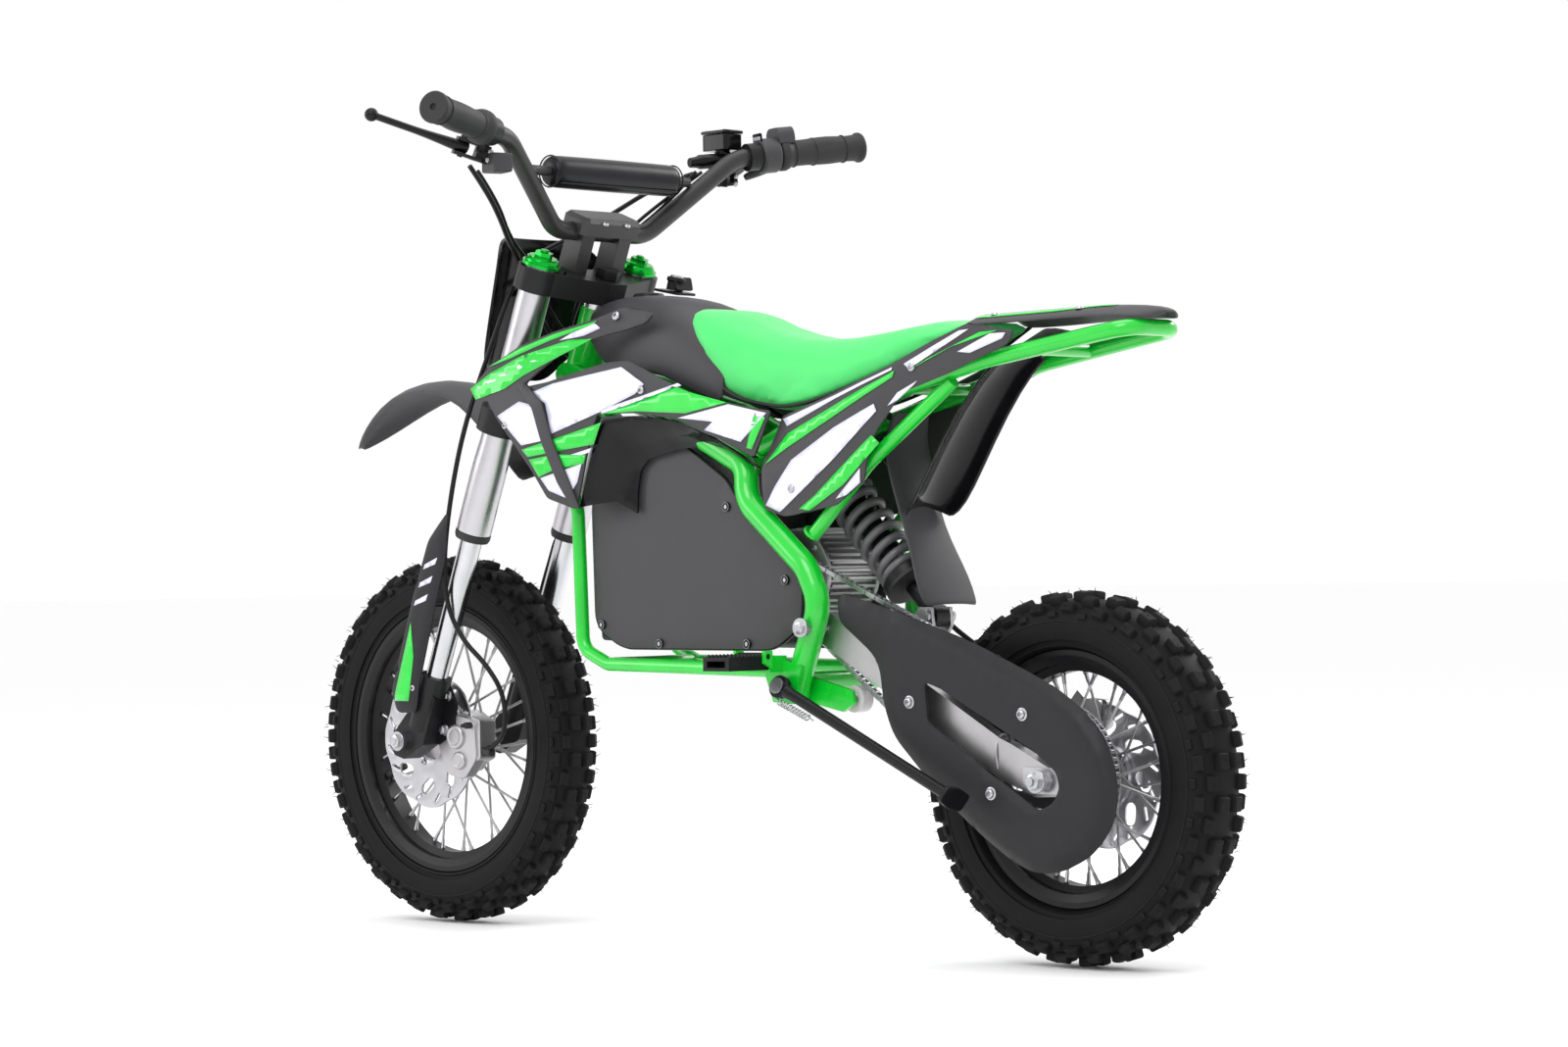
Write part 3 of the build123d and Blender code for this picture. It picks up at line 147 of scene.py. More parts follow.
# ------------------------------------------------------------------ mesh building
class Shape:
    """Simple solids gathered in one mesh, in metres in the row frame."""

    def __init__(self):
        self.verts = []
        self.faces = []

    def skin(self, rows, around=True, caps=True, closed=False):
        """Faces between successive rows of points; each row is a loop when around is true."""
        base, n = len(self.verts), len(rows[0])
        self.verts += [tuple(p) for row in rows for p in row]
        count = len(rows)
        for i in range(count if closed else count - 1):
            for j in range(n if around else n - 1):
                a, b = base + i * n + j, base + i * n + (j + 1) % n
                c, d = base + (i + 1) % count * n + (j + 1) % n, base + (i + 1) % count * n + j
                self.faces.append((a, b, c, d))
        if around and caps and not closed:
            self.faces.append(tuple(range(base + n - 1, base - 1, -1)))
            self.faces.append(tuple(range(base + (count - 1) * n, base + count * n)))

    def tube(self, points, radius, sides=12, flat=1.0, closed=False):
        """Round or flattened tube through points; radius in millimetres, or a function of 0 to 1."""
        points = [Vector(p) for p in points]
        last = len(points) - 1
        steep = abs((points[1] - points[0]).normalized().z) >= 0.9
        normal = Vector((1, 0, 0)) if steep else Vector((0, 0, 1))
        rows = []
        for i, p in enumerate(points):
            before = points[i - 1] if i or closed else p
            after = points[(i + 1) % len(points)] if i < last or closed else p
            t = (after - before).normalized()
            normal = (normal - t * normal.dot(t)).normalized()
            across = t.cross(normal)
            r = (radius(i / last) if callable(radius) else radius) * MM
            rows.append([p + normal * (r * flat * cos(a)) + across * (r * sin(a))
                         for a in (2 * pi * k / sides for k in range(sides))])
        self.skin(rows, closed=closed)

    def turned(self, origin, axis, profile, sides=32, closed=False, ripple=None):
        """Solid of (radius, along) points turned about an axis; ripple(angle, along) adds to the radius."""
        axis = Vector(axis).normalized()
        across = axis.orthogonal().normalized()
        up = axis.cross(across)
        rows = []
        for r, h in profile:
            row = []
            for k in range(sides):
                a = 2 * pi * k / sides
                reach = (r + (ripple(a, h) if ripple else 0)) * MM
                row.append(origin + axis * h * MM + across * (reach * cos(a)) + up * (reach * sin(a)))
            rows.append(row)
        self.skin(rows, closed=closed)

    def prism(self, origin, u, v, outline, height):
        """Solid of a flat outline in the directions u and v, raised along their normal."""
        u, v = Vector(u).normalized(), Vector(v).normalized()
        w = u.cross(v)
        loop = [origin + u * a * MM + v * b * MM for a, b in outline]
        self.skin([loop, [p + w * height * MM for p in loop]])

    def bolt(self, origin, axis, across=10.0, height=6.0, washer=0.0):
        """Hexagon head with a chamfered top, on a washer."""
        axis = Vector(axis).normalized()
        if washer:
            self.turned(origin, axis, ((washer, 0), (washer, 1.2), (washer - 0.4, 1.6)), 28)
        base = origin + axis * (1.6 * MM if washer else 0)
        r = across / 2 / cos(pi / 6)
        self.turned(base, axis, ((r, 0), (r, height * 0.85), (r * 0.86, height)), 6)
        self.turned(base, axis, ((r * 0.55, height * 0.9), (r * 0.5, height * 1.25)), 16)

    def screw(self, origin, axis, radius=5.0, height=3.0):
        """Domed socket screw."""
        profile = ((radius, 0), (radius, height * 0.35), (radius * 0.86, height * 0.8),
                   (radius * 0.62, height), (radius * 0.48, height), (radius * 0.46, height * 0.2))
        self.turned(origin, axis, profile, 24)


def piece(name, shape, look, body, hides=(), bevel=0.0, levels=0, sharp=38, ride=True):
    """Make an object of a shape, give it its material and let it ride on its body."""
    mesh = bpy.data.meshes.new(name)
    mesh.from_pydata(shape.verts, [], shape.faces)
    bm = bmesh.new()
    bm.from_mesh(mesh)
    bmesh.ops.remove_doubles(bm, verts=bm.verts, dist=1e-6)
    bmesh.ops.recalc_face_normals(bm, faces=bm.faces)
    bm.to_mesh(mesh)
    bm.free()
    mesh.shade_smooth()
    mesh.set_sharp_from_angle(angle=radians(sharp))
    obj = bpy.data.objects.new(name, mesh)
    bpy.context.scene.collection.objects.link(obj)
    mesh.materials.append(LOOKS[look])
    if bevel:
        edge = obj.modifiers.new("edge", "BEVEL")
        edge.width = bevel * MM
        edge.segments = 2
        edge.limit_method = "ANGLE"
        edge.angle_limit = radians(35)
    if levels:
        soft = obj.modifiers.new("soft", "SUBSURF")
        soft.levels = soft.render_levels = levels
    if ride:
        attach(obj, body)
    if hides:
        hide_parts(*hides)
    return obj


def applied(obj):
    """Replace an object's mesh by its mesh with the modifiers applied."""
    depsgraph = bpy.context.evaluated_depsgraph_get()
    mesh = bpy.data.meshes.new_from_object(obj.evaluated_get(depsgraph))
    obj.modifiers.clear()
    obj.data = mesh
    return obj


def rounded(points, radius, steps=4):
    """A closed outline with each corner replaced by an arc-like curve."""
    result = []
    count = len(points)
    for i, here in enumerate(points):
        here = Vector(here)
        before, after = Vector(points[i - 1]) - here, Vector(points[(i + 1) % count]) - here
        reach = min(radius, before.length * 0.45, after.length * 0.45)
        start, end = here + before.normalized() * reach, here + after.normalized() * reach
        for k in range(steps + 1):
            t = k / steps
            result.append(tuple(start * (1 - t) ** 2 + here * 2 * t * (1 - t) + end * t * t))
    return result


def resampled(points, step):
    """A closed outline with no edge longer than step."""
    result = []
    for i, here in enumerate(points):
        here, after = Vector(here), Vector(points[(i + 1) % len(points)])
        cuts = max(1, ceil((after - here).length / step))
        result += [here.lerp(after, k / cuts) for k in range(cuts)]
    return result


def edge_distance(p, loop):
    """Distance from a point to a closed outline."""
    best = 1e9
    for i, a in enumerate(loop):
        b = loop[(i + 1) % len(loop)]
        dx, dy = b[0] - a[0], b[1] - a[1]
        length = dx * dx + dy * dy
        t = 0 if length == 0 else min(max(((p[0] - a[0]) * dx + (p[1] - a[1]) * dy) / length, 0), 1)
        best = min(best, hypot(p[0] - a[0] - t * dx, p[1] - a[1] - t * dy))
    return best


def inside(p, loops):
    """True where a point is within the first outline and outside the others."""
    odd = False
    for loop in loops:
        for i, a in enumerate(loop):
            b = loop[(i + 1) % len(loop)]
            if (a[1] > p[1]) != (b[1] > p[1]):
                if p[0] < (b[0] - a[0]) * (p[1] - a[1]) / (b[1] - a[1]) + a[0]:
                    odd = not odd
    return odd


def sheet(name, outline, surface, thickness, look, body, holes=(), step=14.0, bevel=0.7, hides=()):
    """A thin panel: a flat outline with holes, meshed evenly and laid on surface(u, v)."""
    loops = [resampled(loop, step) for loop in (outline, *holes)]
    points, edges = [], []
    for loop in loops:
        base = len(points)
        points += loop
        edges += [(base + i, base + (i + 1) % len(loop)) for i in range(len(loop))]
    low_u, high_u = min(p[0] for p in loops[0]), max(p[0] for p in loops[0])
    low_v, high_v = min(p[1] for p in loops[0]), max(p[1] for p in loops[0])
    for i in range(int((high_u - low_u) / step) + 1):
        for j in range(int((high_v - low_v) / step) + 1):
            p = Vector((low_u + (i + 0.5 * (j % 2)) * step, low_v + j * step))
            if inside(p, loops) and min(edge_distance(p, loop) for loop in loops) > step * 0.45:
                points.append(p)
    verts, _, faces, _, _, _ = delaunay_2d_cdt(points, edges, [], 0, 1e-5)
    shape = Shape()
    shape.verts = [tuple(surface(p[0], p[1])) for p in verts]
    for face in faces:
        middle = sum((verts[k] for k in face), Vector((0, 0))) / len(face)
        if inside(middle, loops):
            shape.faces.append(tuple(face))
    obj = piece(name, shape, look, body, hides, sharp=50)
    shell = obj.modifiers.new("shell", "SOLIDIFY")
    shell.thickness = thickness * MM
    shell.offset = 0.0
    if bevel:
        edge = obj.modifiers.new("edge", "BEVEL")
        edge.width = bevel * MM
        edge.segments = 2
        edge.limit_method = "ANGLE"
        edge.angle_limit = radians(50)
    return obj


def loft(name, rows, thickness, look, body, hides=(), levels=1, ride=True):
    """An open shell through rows of points, thickened and subdivided."""
    shape = Shape()
    shape.skin(rows, around=False)
    obj = piece(name, shape, look, body, hides, sharp=70, ride=ride)
    shell = obj.modifiers.new("shell", "SOLIDIFY")
    shell.thickness = thickness * MM
    shell.offset = 0.0
    if levels:
        soft = obj.modifiers.new("soft", "SUBSURF")
        soft.levels = soft.render_levels = levels
    return obj


# ------------------------------------------------------------------ materials
def look(name, color, rough=0.5, metal=0.0, grain=600.0, bump=0.15, vary=0.08, rough_vary=0.08,
         coat=0.0, stretch=(1, 1, 1), turn=0.0, wear=0.0, edge=0.6, sheen=0.0, cells=False, gloss=0.5):
    """A finish with patchy colour and roughness, fine relief, rounded edges and edge wear."""
    mat = bpy.data.materials.new(name)
    mat.use_nodes = True
    nodes, links = mat.node_tree.nodes, mat.node_tree.links
    shader = nodes["Principled BSDF"]
    shader.inputs["Metallic"].default_value = metal
    shader.inputs["Coat Weight"].default_value = coat
    shader.inputs["Coat Roughness"].default_value = 0.08
    shader.inputs["Sheen Weight"].default_value = sheen
    shader.inputs["Specular IOR Level"].default_value = gloss
    coords = nodes.new("ShaderNodeTexCoord")
    mapping = nodes.new("ShaderNodeMapping")
    mapping.inputs["Rotation"].default_value = (0, turn, 0)
    mapping.inputs["Scale"].default_value = stretch
    links.new(coords.outputs["Object"], mapping.inputs["Vector"])
    patch = nodes.new("ShaderNodeTexNoise")
    patch.inputs["Scale"].default_value = 22.0
    patch.inputs["Detail"].default_value = 5.0
    links.new(coords.outputs["Object"], patch.inputs["Vector"])
    ramp = nodes.new("ShaderNodeValToRGB")
    ramp.color_ramp.elements[0].position, ramp.color_ramp.elements[1].position = 0.3, 0.7
    ramp.color_ramp.elements[0].color = (*[c * (1 - vary) for c in color], 1)
    ramp.color_ramp.elements[1].color = (*[min(1, c * (1 + vary)) for c in color], 1)
    links.new(patch.outputs["Fac"], ramp.inputs["Fac"])
    tint = ramp.outputs["Color"]
    if wear:
        geometry = nodes.new("ShaderNodeNewGeometry")
        mask = nodes.new("ShaderNodeMapRange")
        mask.inputs["From Min"].default_value, mask.inputs["From Max"].default_value = 0.53, 0.6
        mask.inputs["To Max"].default_value = wear
        links.new(geometry.outputs["Pointiness"], mask.inputs["Value"])
        mix = nodes.new("ShaderNodeMix")
        mix.data_type = "RGBA"
        mix.inputs["B"].default_value = (*[min(1, c * 1.5 + 0.03) for c in color], 1)
        links.new(mask.outputs["Result"], mix.inputs["Factor"])
        links.new(tint, mix.inputs["A"])
        tint = mix.outputs["Result"]
    links.new(tint, shader.inputs["Base Color"])
    spread = nodes.new("ShaderNodeMapRange")
    spread.inputs["To Min"].default_value = max(0.02, rough - rough_vary)
    spread.inputs["To Max"].default_value = min(1.0, rough + rough_vary)
    links.new(patch.outputs["Fac"], spread.inputs["Value"])
    links.new(spread.outputs["Result"], shader.inputs["Roughness"])
    if cells:
        fine = nodes.new("ShaderNodeTexVoronoi")
        height = fine.outputs["Distance"]
    else:
        fine = nodes.new("ShaderNodeTexNoise")
        fine.inputs["Detail"].default_value = 3.0
        height = fine.outputs["Fac"]
    fine.inputs["Scale"].default_value = grain
    links.new(mapping.outputs["Vector"], fine.inputs["Vector"])
    relief = nodes.new("ShaderNodeBump")
    relief.inputs["Strength"].default_value = bump
    relief.inputs["Distance"].default_value = 0.0004
    links.new(height, relief.inputs["Height"])
    if edge:
        corner = nodes.new("ShaderNodeBevel")
        corner.samples = 4
        corner.inputs["Radius"].default_value = edge * MM
        links.new(corner.outputs["Normal"], relief.inputs["Normal"])
    links.new(relief.outputs["Normal"], shader.inputs["Normal"])
    return mat


GREEN = (0.0, 0.50, 0.022)
CHARCOAL = (0.036, 0.034, 0.038)
LOOKS = {
    "frame_green": look("frame_green", GREEN, 0.28, coat=0.5, grain=260, bump=0.05, wear=0.25),
    "matte_black": look("matte_black", CHARCOAL, 0.50, grain=1500, bump=0.22, rough_vary=0.06, wear=0.15,
                        gloss=0.4),
    "gloss_black": look("gloss_black", (0.004, 0.004, 0.005), 0.14, grain=120, bump=0.04, gloss=0.22),
    "black_metal": look("black_metal", (0.006, 0.006, 0.007), 0.36, grain=700, bump=0.10, wear=0.2,
                        gloss=0.2),
    "bar_metal": look("bar_metal", (0.024, 0.022, 0.023), 0.40, grain=900, bump=0.12, wear=0.2, gloss=0.4),
    "raw_aluminium": look("raw_aluminium", (0.44, 0.43, 0.44), 0.42, 1.0, grain=500, bump=0.20,
                          rough_vary=0.14, vary=0.12),
    "tube_aluminium": look("tube_aluminium", (0.50, 0.49, 0.51), 0.30, 1.0, grain=900, bump=0.10,
                           stretch=(1, 1, 0.02), turn=RAKE, vary=0.06),
    "chrome": look("chrome", (0.56, 0.56, 0.58), 0.18, 1.0, grain=900, bump=0.05, stretch=(1, 1, 0.03),
                   turn=RAKE),
    "steel": look("steel", (0.46, 0.46, 0.48), 0.30, 1.0, grain=800, bump=0.12, vary=0.1),
    "tyre": look("tyre", (0.0065, 0.0062, 0.0065), 0.60, grain=900, bump=0.30, vary=0.25, rough_vary=0.12,
                 wear=0.3, gloss=0.12),
    "grip_rubber": look("grip_rubber", (0.022, 0.021, 0.022), 0.60, grain=1100, bump=0.25, gloss=0.35),
    "hose": look("hose", (0.006, 0.006, 0.006), 0.36, grain=900, bump=0.08, gloss=0.2),
    "seat_vinyl": look("seat_vinyl", (0.045, 0.60, 0.125), 0.52, grain=900, bump=0.30, cells=True,
                       rough_vary=0.08, sheen=0.2, edge=0, vary=0.04),
    "spring_grey": look("spring_grey", (0.105, 0.10, 0.108), 0.42, grain=500, bump=0.10, coat=0.1, wear=0.2),
    "green_anodised": look("green_anodised", (0.0, 0.42, 0.03), 0.22, 0.75, grain=700, bump=0.06),
    "roller_white": look("roller_white", (0.62, 0.60, 0.60), 0.46, grain=400, bump=0.08),
    "guard_black": look("guard_black", (0.016, 0.015, 0.017), 0.46, grain=1500, bump=0.20, wear=0.15,
                        gloss=0.22),
    "pad_black": look("pad_black", (0.006, 0.006, 0.008), 0.30, grain=700, bump=0.15, cells=True, edge=0,
                      gloss=0.25),
    "decal_green": look("decal_green", (0.0, 0.56, 0.030), 0.24, grain=300, bump=0.03, coat=0.6, edge=0),
    "decal_white": look("decal_white", (0.66, 0.65, 0.80), 0.24, grain=300, bump=0.03, coat=0.6, edge=0,
                        vary=0.03),
}


def dress_cad_nodes():
    """Give every CAD node the finish of its slot."""
    for part in frame["record"]["subparts"]:
        obj = NODES[part["node"]]
        if not obj.material_slots:
            obj.data.materials.append(None)
        for place in obj.material_slots:
            place.link = "OBJECT"
            place.material = LOOKS[part["material_slot"]]


# ------------------------------------------------------------------ wheels
def tyre(tag, hub_x, radius, half, bead, pitches, body):
    """Knobbly tyre: a moulded carcass, three rows of blocks each side, and moulding whiskers."""
    rng = random.Random(7)
    knob = 9.0
    crown, middle = radius - knob, (radius - knob + bead) / 2 + 3
    centre = at(hub_x, 0, radius)

    def wall(phi):
        """(radius, width) of the carcass, phi 0 at the crown and 90 degrees at its widest."""
        s, c = sin(phi), cos(phi)
        return middle + (crown - middle) * c ** 0.75, (half - 2.5) * s ** 0.8

    upper = [wall(radians(90) * k / 12) for k in range(13)]
    lower = [(middle - 8, half - 3), (middle - 14, half - 4.5), (bead + 22, half - 7),
             (bead + 17, half - 8), (bead + 15.5, half - 6.5), (bead + 13, 27), (bead + 12, 23.5),
             (bead + 2, 22)]
    left = upper + [(r, w) for r, w in lower if r < middle - 4]
    inner = [(bead + 2, 15), (bead + 16, half - 13), (middle, half - 8), (crown - 12, 10)]
    loop = left + inner
    loop += [(r, -w) for r, w in reversed(inner)] + [(r, -w) for r, w in reversed(left[1:])]
    carcass = Shape()
    rows = [[centre + Vector((r * MM * cos(a), w * MM, r * MM * sin(a))) for r, w in loop]
            for a in (2 * pi * k / 96 for k in range(96))]
    carcass.skin(rows, closed=True)
    for r, w in ((bead + 24, half - 6.2), (middle + 6, half - 2.6)):
        for side in (1, -1):
            ring = [centre + Vector((r * MM * cos(a), side * w * MM, r * MM * sin(a)))
                    for a in (2 * pi * k / 96 for k in range(96))]
            carcass.tube(ring, 0.9, 6, closed=True)

    def surface_point(phi, turn, lift):
        """Point above the carcass at a signed phi, and at an angle round the wheel."""
        r, w = wall(abs(phi))
        r2, w2 = wall(abs(phi) + 0.02)
        out = Vector((w2 - w, -(r2 - r))).normalized()
        r, w = r + out.x * lift, (w + out.y * lift) * (1 if phi >= 0 else -1)
        return centre + Vector((r * MM * cos(turn), w * MM, r * MM * sin(turn)))

    def block(phi, turn, wide, long, lift):
        """One tread block, narrower at its top."""
        rows = []
        for height, share in ((-1.5, 1.05), (lift * 0.8, 0.93), (lift, 0.80)):
            a, b = wide * share / 2, long * share / 2 / radius
            rows.append([surface_point(phi + i * a, turn + j * b, height)
                         for i, j in ((-1, -1), (0, -1), (1, -1), (1, 1), (0, 1), (-1, 1))])
        blocks.skin(rows)

    blocks, whiskers = Shape(), Shape()
    for k in range(pitches):
        turn = 2 * pi * k / pitches
        half_pitch = pi / pitches
        for side in (1, -1):
            block(side * 0.21, turn, 0.31, 18, knob - 0.6)
            block(side * 0.60, turn + half_pitch, 0.31, 18, knob - 0.8)
            block(side * 1.00, turn, 0.32, 19, knob - 1.6)
            block(side * 1.24, turn + half_pitch, 0.20, 12, 3.6)
            for phi, where, reach in ((1.05, 0, 6.5), (0.98, 0.8, 6), (0.6, 1, 5), (0.25, 0, 4)):
                place = turn + half_pitch * where + rng.uniform(-0.03, 0.03)
                if phi < 0.8 and abs(sin(place) + 1) < 0.12:
                    continue
                lean = phi + rng.uniform(-0.08, 0.1)
                start = surface_point(side * lean, place, knob - 1.6)
                end = surface_point(side * (lean + 0.03), place + rng.uniform(-0.02, 0.02),
                                    knob + reach * 0.75)
                whiskers.tube([start, (start + end) / 2, end], lambda t: 0.55 - 0.35 * t, 5)
    piece(f"{tag}_tyre_carcass", carcass, "tyre", body, (f"{tag}_tyre",), sharp=45)
    piece(f"{tag}_tyre_blocks", blocks, "tyre", body, bevel=0.5)
    piece(f"{tag}_tyre_whiskers", whiskers, "tyre", body)


def wheel_trim(tag, hub_x, radius, bead, body):
    """Spoke nipples, spoke heads at the hub and a tyre valve."""
    centre = at(hub_x, 0, radius)

    def wheel_point(r, angle, y):
        return centre + Vector((r * MM * cos(angle), y * MM, -r * MM * sin(angle)))

    nipples, heads = Shape(), Shape()
    for index in range(SPOKES):
        side = 1 if index % 2 else -1
        lean = radians(26 if (index // 2) % 2 else -26)
        angle = 2 * pi * index / SPOKES
        low, high = wheel_point(30, angle + lean, side * 27), wheel_point(bead - 12.6, angle, side * 5)
        run = (low - high).normalized()
        nipples.turned(high, run, ((2.9, -1), (2.9, 3), (2.3, 4), (2.1, 12), (1.7, 13)), 8)
        heads.turned(low + Vector((0, side * 2.2 * MM, 0)), (0, side, 0),
                     ((2.8, -1), (2.8, 0.5), (1.4, 1.3)), 10)
    piece(f"{tag}_spoke_nipples", nipples, "steel", body)
    piece(f"{tag}_spoke_heads", heads, "steel", body)
    valve = Shape()
    seat, up = wheel_point(bead - 13, 0.35, 0), wheel_point(0, 0, 0) - wheel_point(1, 0.35, 0)
    valve.turned(seat, up, ((5.5, -1), (4.5, 3), (3.6, 12), (3.6, 22), (4.2, 23), (4.2, 31), (3, 32)), 16)
    piece(f"{tag}_valve", valve, "grip_rubber", body)


def brake_disc(tag, hub_x, radius, outer, y, body):
    """Waved brake disc with slots, bolted to its carrier."""
    centre = at(hub_x, 0, radius)
    edge = []
    for k in range(144):
        a = 2 * pi * k / 144
        r = outer - 3.2 * (0.5 - 0.5 * cos(8 * a)) ** 2
        edge.append((r * cos(a), r * sin(a)))

    def slot(r_in, r_out, angle, skew, half):
        run = [(r_in * cos(angle), r_in * sin(angle)),
               (r_out * cos(angle + skew), r_out * sin(angle + skew))]
        head = atan2(run[1][1] - run[0][1], run[1][0] - run[0][0])
        loop = []
        for (px, py), turn in ((run[1], head), (run[0], head + pi)):
            loop += [(px + half * cos(turn + b), py + half * sin(turn + b))
                     for b in (-pi / 2 + pi * k / 5 for k in range(6))]
        return loop

    holes = [[(26 * cos(-2 * pi * k / 32), 26 * sin(-2 * pi * k / 32)) for k in range(32)]]
    for k in range(8):
        a = 2 * pi * k / 8
        holes.append(slot(outer - 30, outer - 22, a, 0.16, 7.0))
        holes.append(slot(outer - 15, outer - 7, a + 0.22, 0.12, 1.9))
        holes.append(slot(outer - 15, outer - 7, a + 0.55, 0.12, 1.9))
    sheet(f"{tag}_brake_disc", edge, lambda u, v: centre + Vector((u, y, v)) * MM, 3.0, "steel", body,
          holes, 11, 0.3, (f"{tag}_disc",))
    bolts = Shape()
    for k in range(4):
        a = 2 * pi * k / 4 + 0.4
        side = 1 if y > 0 else -1
        spot = centre + Vector((30 * cos(a), y + side * 1.5, 30 * sin(a))) * MM
        bolts.screw(spot, (0, side, 0), 4.2, 2.6)
    ring = [(24.6, -9.5), (38, -9.5), (38, -1.8), (24.6, -1.8)]
    bolts.turned(centre + Vector((0, y, 0)) * MM, (0, 1 if y > 0 else -1, 0), ring, 48, closed=True)
    piece(f"{tag}_disc_carrier", bolts, "steel", body, bevel=0.4)


# ------------------------------------------------------------------ body panels
SHROUD_WALL = ((330, 93), (455, 97), (560, 101), (640, 108), (700, 115), (740, 119), (845, 121))
WING_WALL = ((560, 78), (610, 82), (655, 90), (700, 99), (760, 111), (830, 119))
SLOT_LINE = ((560, 700), (640, 690), (700, 668), (753, 648), (830, 640))
SHROUD = ((755, 648), (711, 653), (654, 665), (619, 672), (584, 673), (527, 648), (483, 631),
          (447, 622), (402, 613), (365, 607), (392, 556), (455, 583), (513, 604), (571, 612), (631, 613),
          (649, 566), (658, 537), (669, 503), (712, 517), (736, 553), (759, 580), (787, 610), (807, 634),
          (830, 656), (806, 676), (757, 699), (710, 713), (653, 725), (613, 737), (583, 731), (567, 727),
          (578, 717), (608, 710), (639, 705), (667, 699), (711, 681), (734, 665))
SCOOP = ((667, 505), (655, 537), (645, 565), (629, 610), (571, 609), (513, 601), (455, 580), (396, 541),
         (450, 566), (484, 572), (528, 570), (579, 560), (593, 547), (598, 524), (599, 496), (625, 512))
SCOOP_MOUTH = SCOOP[7:15]
REAR_WALL = ((20, 60), (140, 74), (240, 82), (400, 87))
SIDE_PANEL = ((390, 543), (360, 601), (280, 625), (199, 652), (149, 673), (99, 692), (37, 682),
              (44, 668), (121, 640), (186, 621), (223, 580), (238, 548), (241, 527), (283, 500), (358, 489),
              (386, 498))
COVER = ((680, 366), (684, 512), (656, 592), (560, 592), (462, 532), (448, 512), (372, 452), (345, 414),
         (349, 366), (390, 340), (636, 341))
COVER_SCREWS = ((461, 502), (370, 418), (431, 346), (572, 346), (668, 368))


def open_distance(p, line):
    """Distance from a point to an open line."""
    best = 1e9
    for a, b in zip(line, line[1:]):
        dx, dy = b[0] - a[0], b[1] - a[1]
        t = min(max(((p[0] - a[0]) * dx + (p[1] - a[1]) * dy) / (dx * dx + dy * dy), 0), 1)
        best = min(best, hypot(p[0] - a[0] - t * dx, p[1] - a[1] - t * dy))
    return best


def shroud_y(x, z):
    """Outer face of the front shroud: a bulged side that turns into the wing above the slot."""
    split = interp(SLOT_LINE, x)
    wing = smooth((z - split + 34) / 60)
    side = interp(SHROUD_WALL, x) - 5 * smooth((600 - z) / 110) + 2
    return side + (interp(WING_WALL, x) - side) * wing


def panel_y(x, z):
    """Outer face of the rear side panel, crowned along its middle."""
    ridge = interp(((40, 672), (190, 640), (280, 575), (390, 520)), x)
    return interp(REAR_WALL, x) - 4.0 * smooth(abs(z - ridge) / 60)


def place(side, depth, lift=0.0):
    """A surface function for sheet(): a side view laid at depth(x, z) on one side of the bike."""
    return lambda x, z: at(x, side * (depth(x, z) + lift), z)


SHROUD_DECALS = (
    ("wing_green", "decal_green", ((836, 650), (826, 637), (780, 648), (752, 663), (705, 682), (655, 702),
                                   (690, 702), (757, 686), (806, 667))),
    ("wing_line", "decal_white", ((826, 654), (760, 676), (703, 688), (760, 670), (822, 649))),
    ("wing_top", "decal_green", ((808, 675), (757, 696), (710, 710), (648, 723), (655, 719), (717, 702),
                                 (772, 684))),
    ("wing_white", "decal_white", ((652, 720), (644, 714), (668, 706), (702, 702), (685, 710))),
    ("front_white", "decal_white", ((787, 616), (752, 632), (724, 626), (710, 600), (704, 586), (747, 580))),
    ("main_white", "decal_white", ((733, 642), (700, 651), (592, 666), (558, 645), (572, 634), (620, 617),
                                   (700, 592), (708, 628))),
    ("mid_green", "decal_green", ((747, 575), (696, 586), (624, 603), (636, 578), (696, 571), (737, 566))),
    ("slash_white", "decal_white", ((676, 566), (640, 574), (643, 569), (678, 561))),
    ("low_green", "decal_green", ((736, 563), (697, 568), (649, 566), (653, 556), (698, 550), (722, 542))),
    ("low_white", "decal_white", ((720, 541), (682, 550), (656, 556), (664, 535), (680, 516), (708, 526))),
    ("rear_green", "decal_green", ((619, 613), (508, 640), (488, 633), (430, 619), (494, 609), (570, 614))),
    ("rear_line", "decal_white", ((627, 617), (505, 644), (499, 641), (622, 613))),
    ("rear_white", "decal_white", ((506, 604), (428, 617), (370, 605), (410, 574), (465, 589), (452, 598))),
    ("rear_dash", "decal_green", ((388, 606), (372, 600), (394, 565), (402, 567))),
)
PANEL_DECALS = (
    ("white", "decal_white", ((369, 522), (343, 552), (280, 586), (222, 610), (219, 602), (281, 552),
                              (364, 494), (383, 502))),
    ("green", "decal_green", ((336, 497), (313, 511), (228, 576), (218, 567), (271, 522), (320, 495))),
    ("low_white", "decal_white", ((282, 507), (246, 540), (246, 524), (266, 511))),
    ("top_green", "decal_green", ((384, 548), (350, 582), (258, 620), (193, 645), (196, 638), (269, 604),
                                  (350, 566))),
    ("top_line", "decal_white", ((358, 598), (280, 622), (196, 649), (197, 646), (280, 618), (352, 590))),
    ("tail_white", "decal_white", ((180, 652), (107, 685), (94, 686), (121, 672), (173, 646))),
    ("tail_green", "decal_green", ((172, 645), (116, 668), (56, 683), (80, 682), (148, 656))),
    ("tail_white_low", "decal_white", ((108, 662), (66, 680), (46, 680), (50, 674), (92, 660))),
    ("arc_white", "decal_white", ((204, 607), (190, 621), (162, 633), (168, 628), (190, 613))),
)


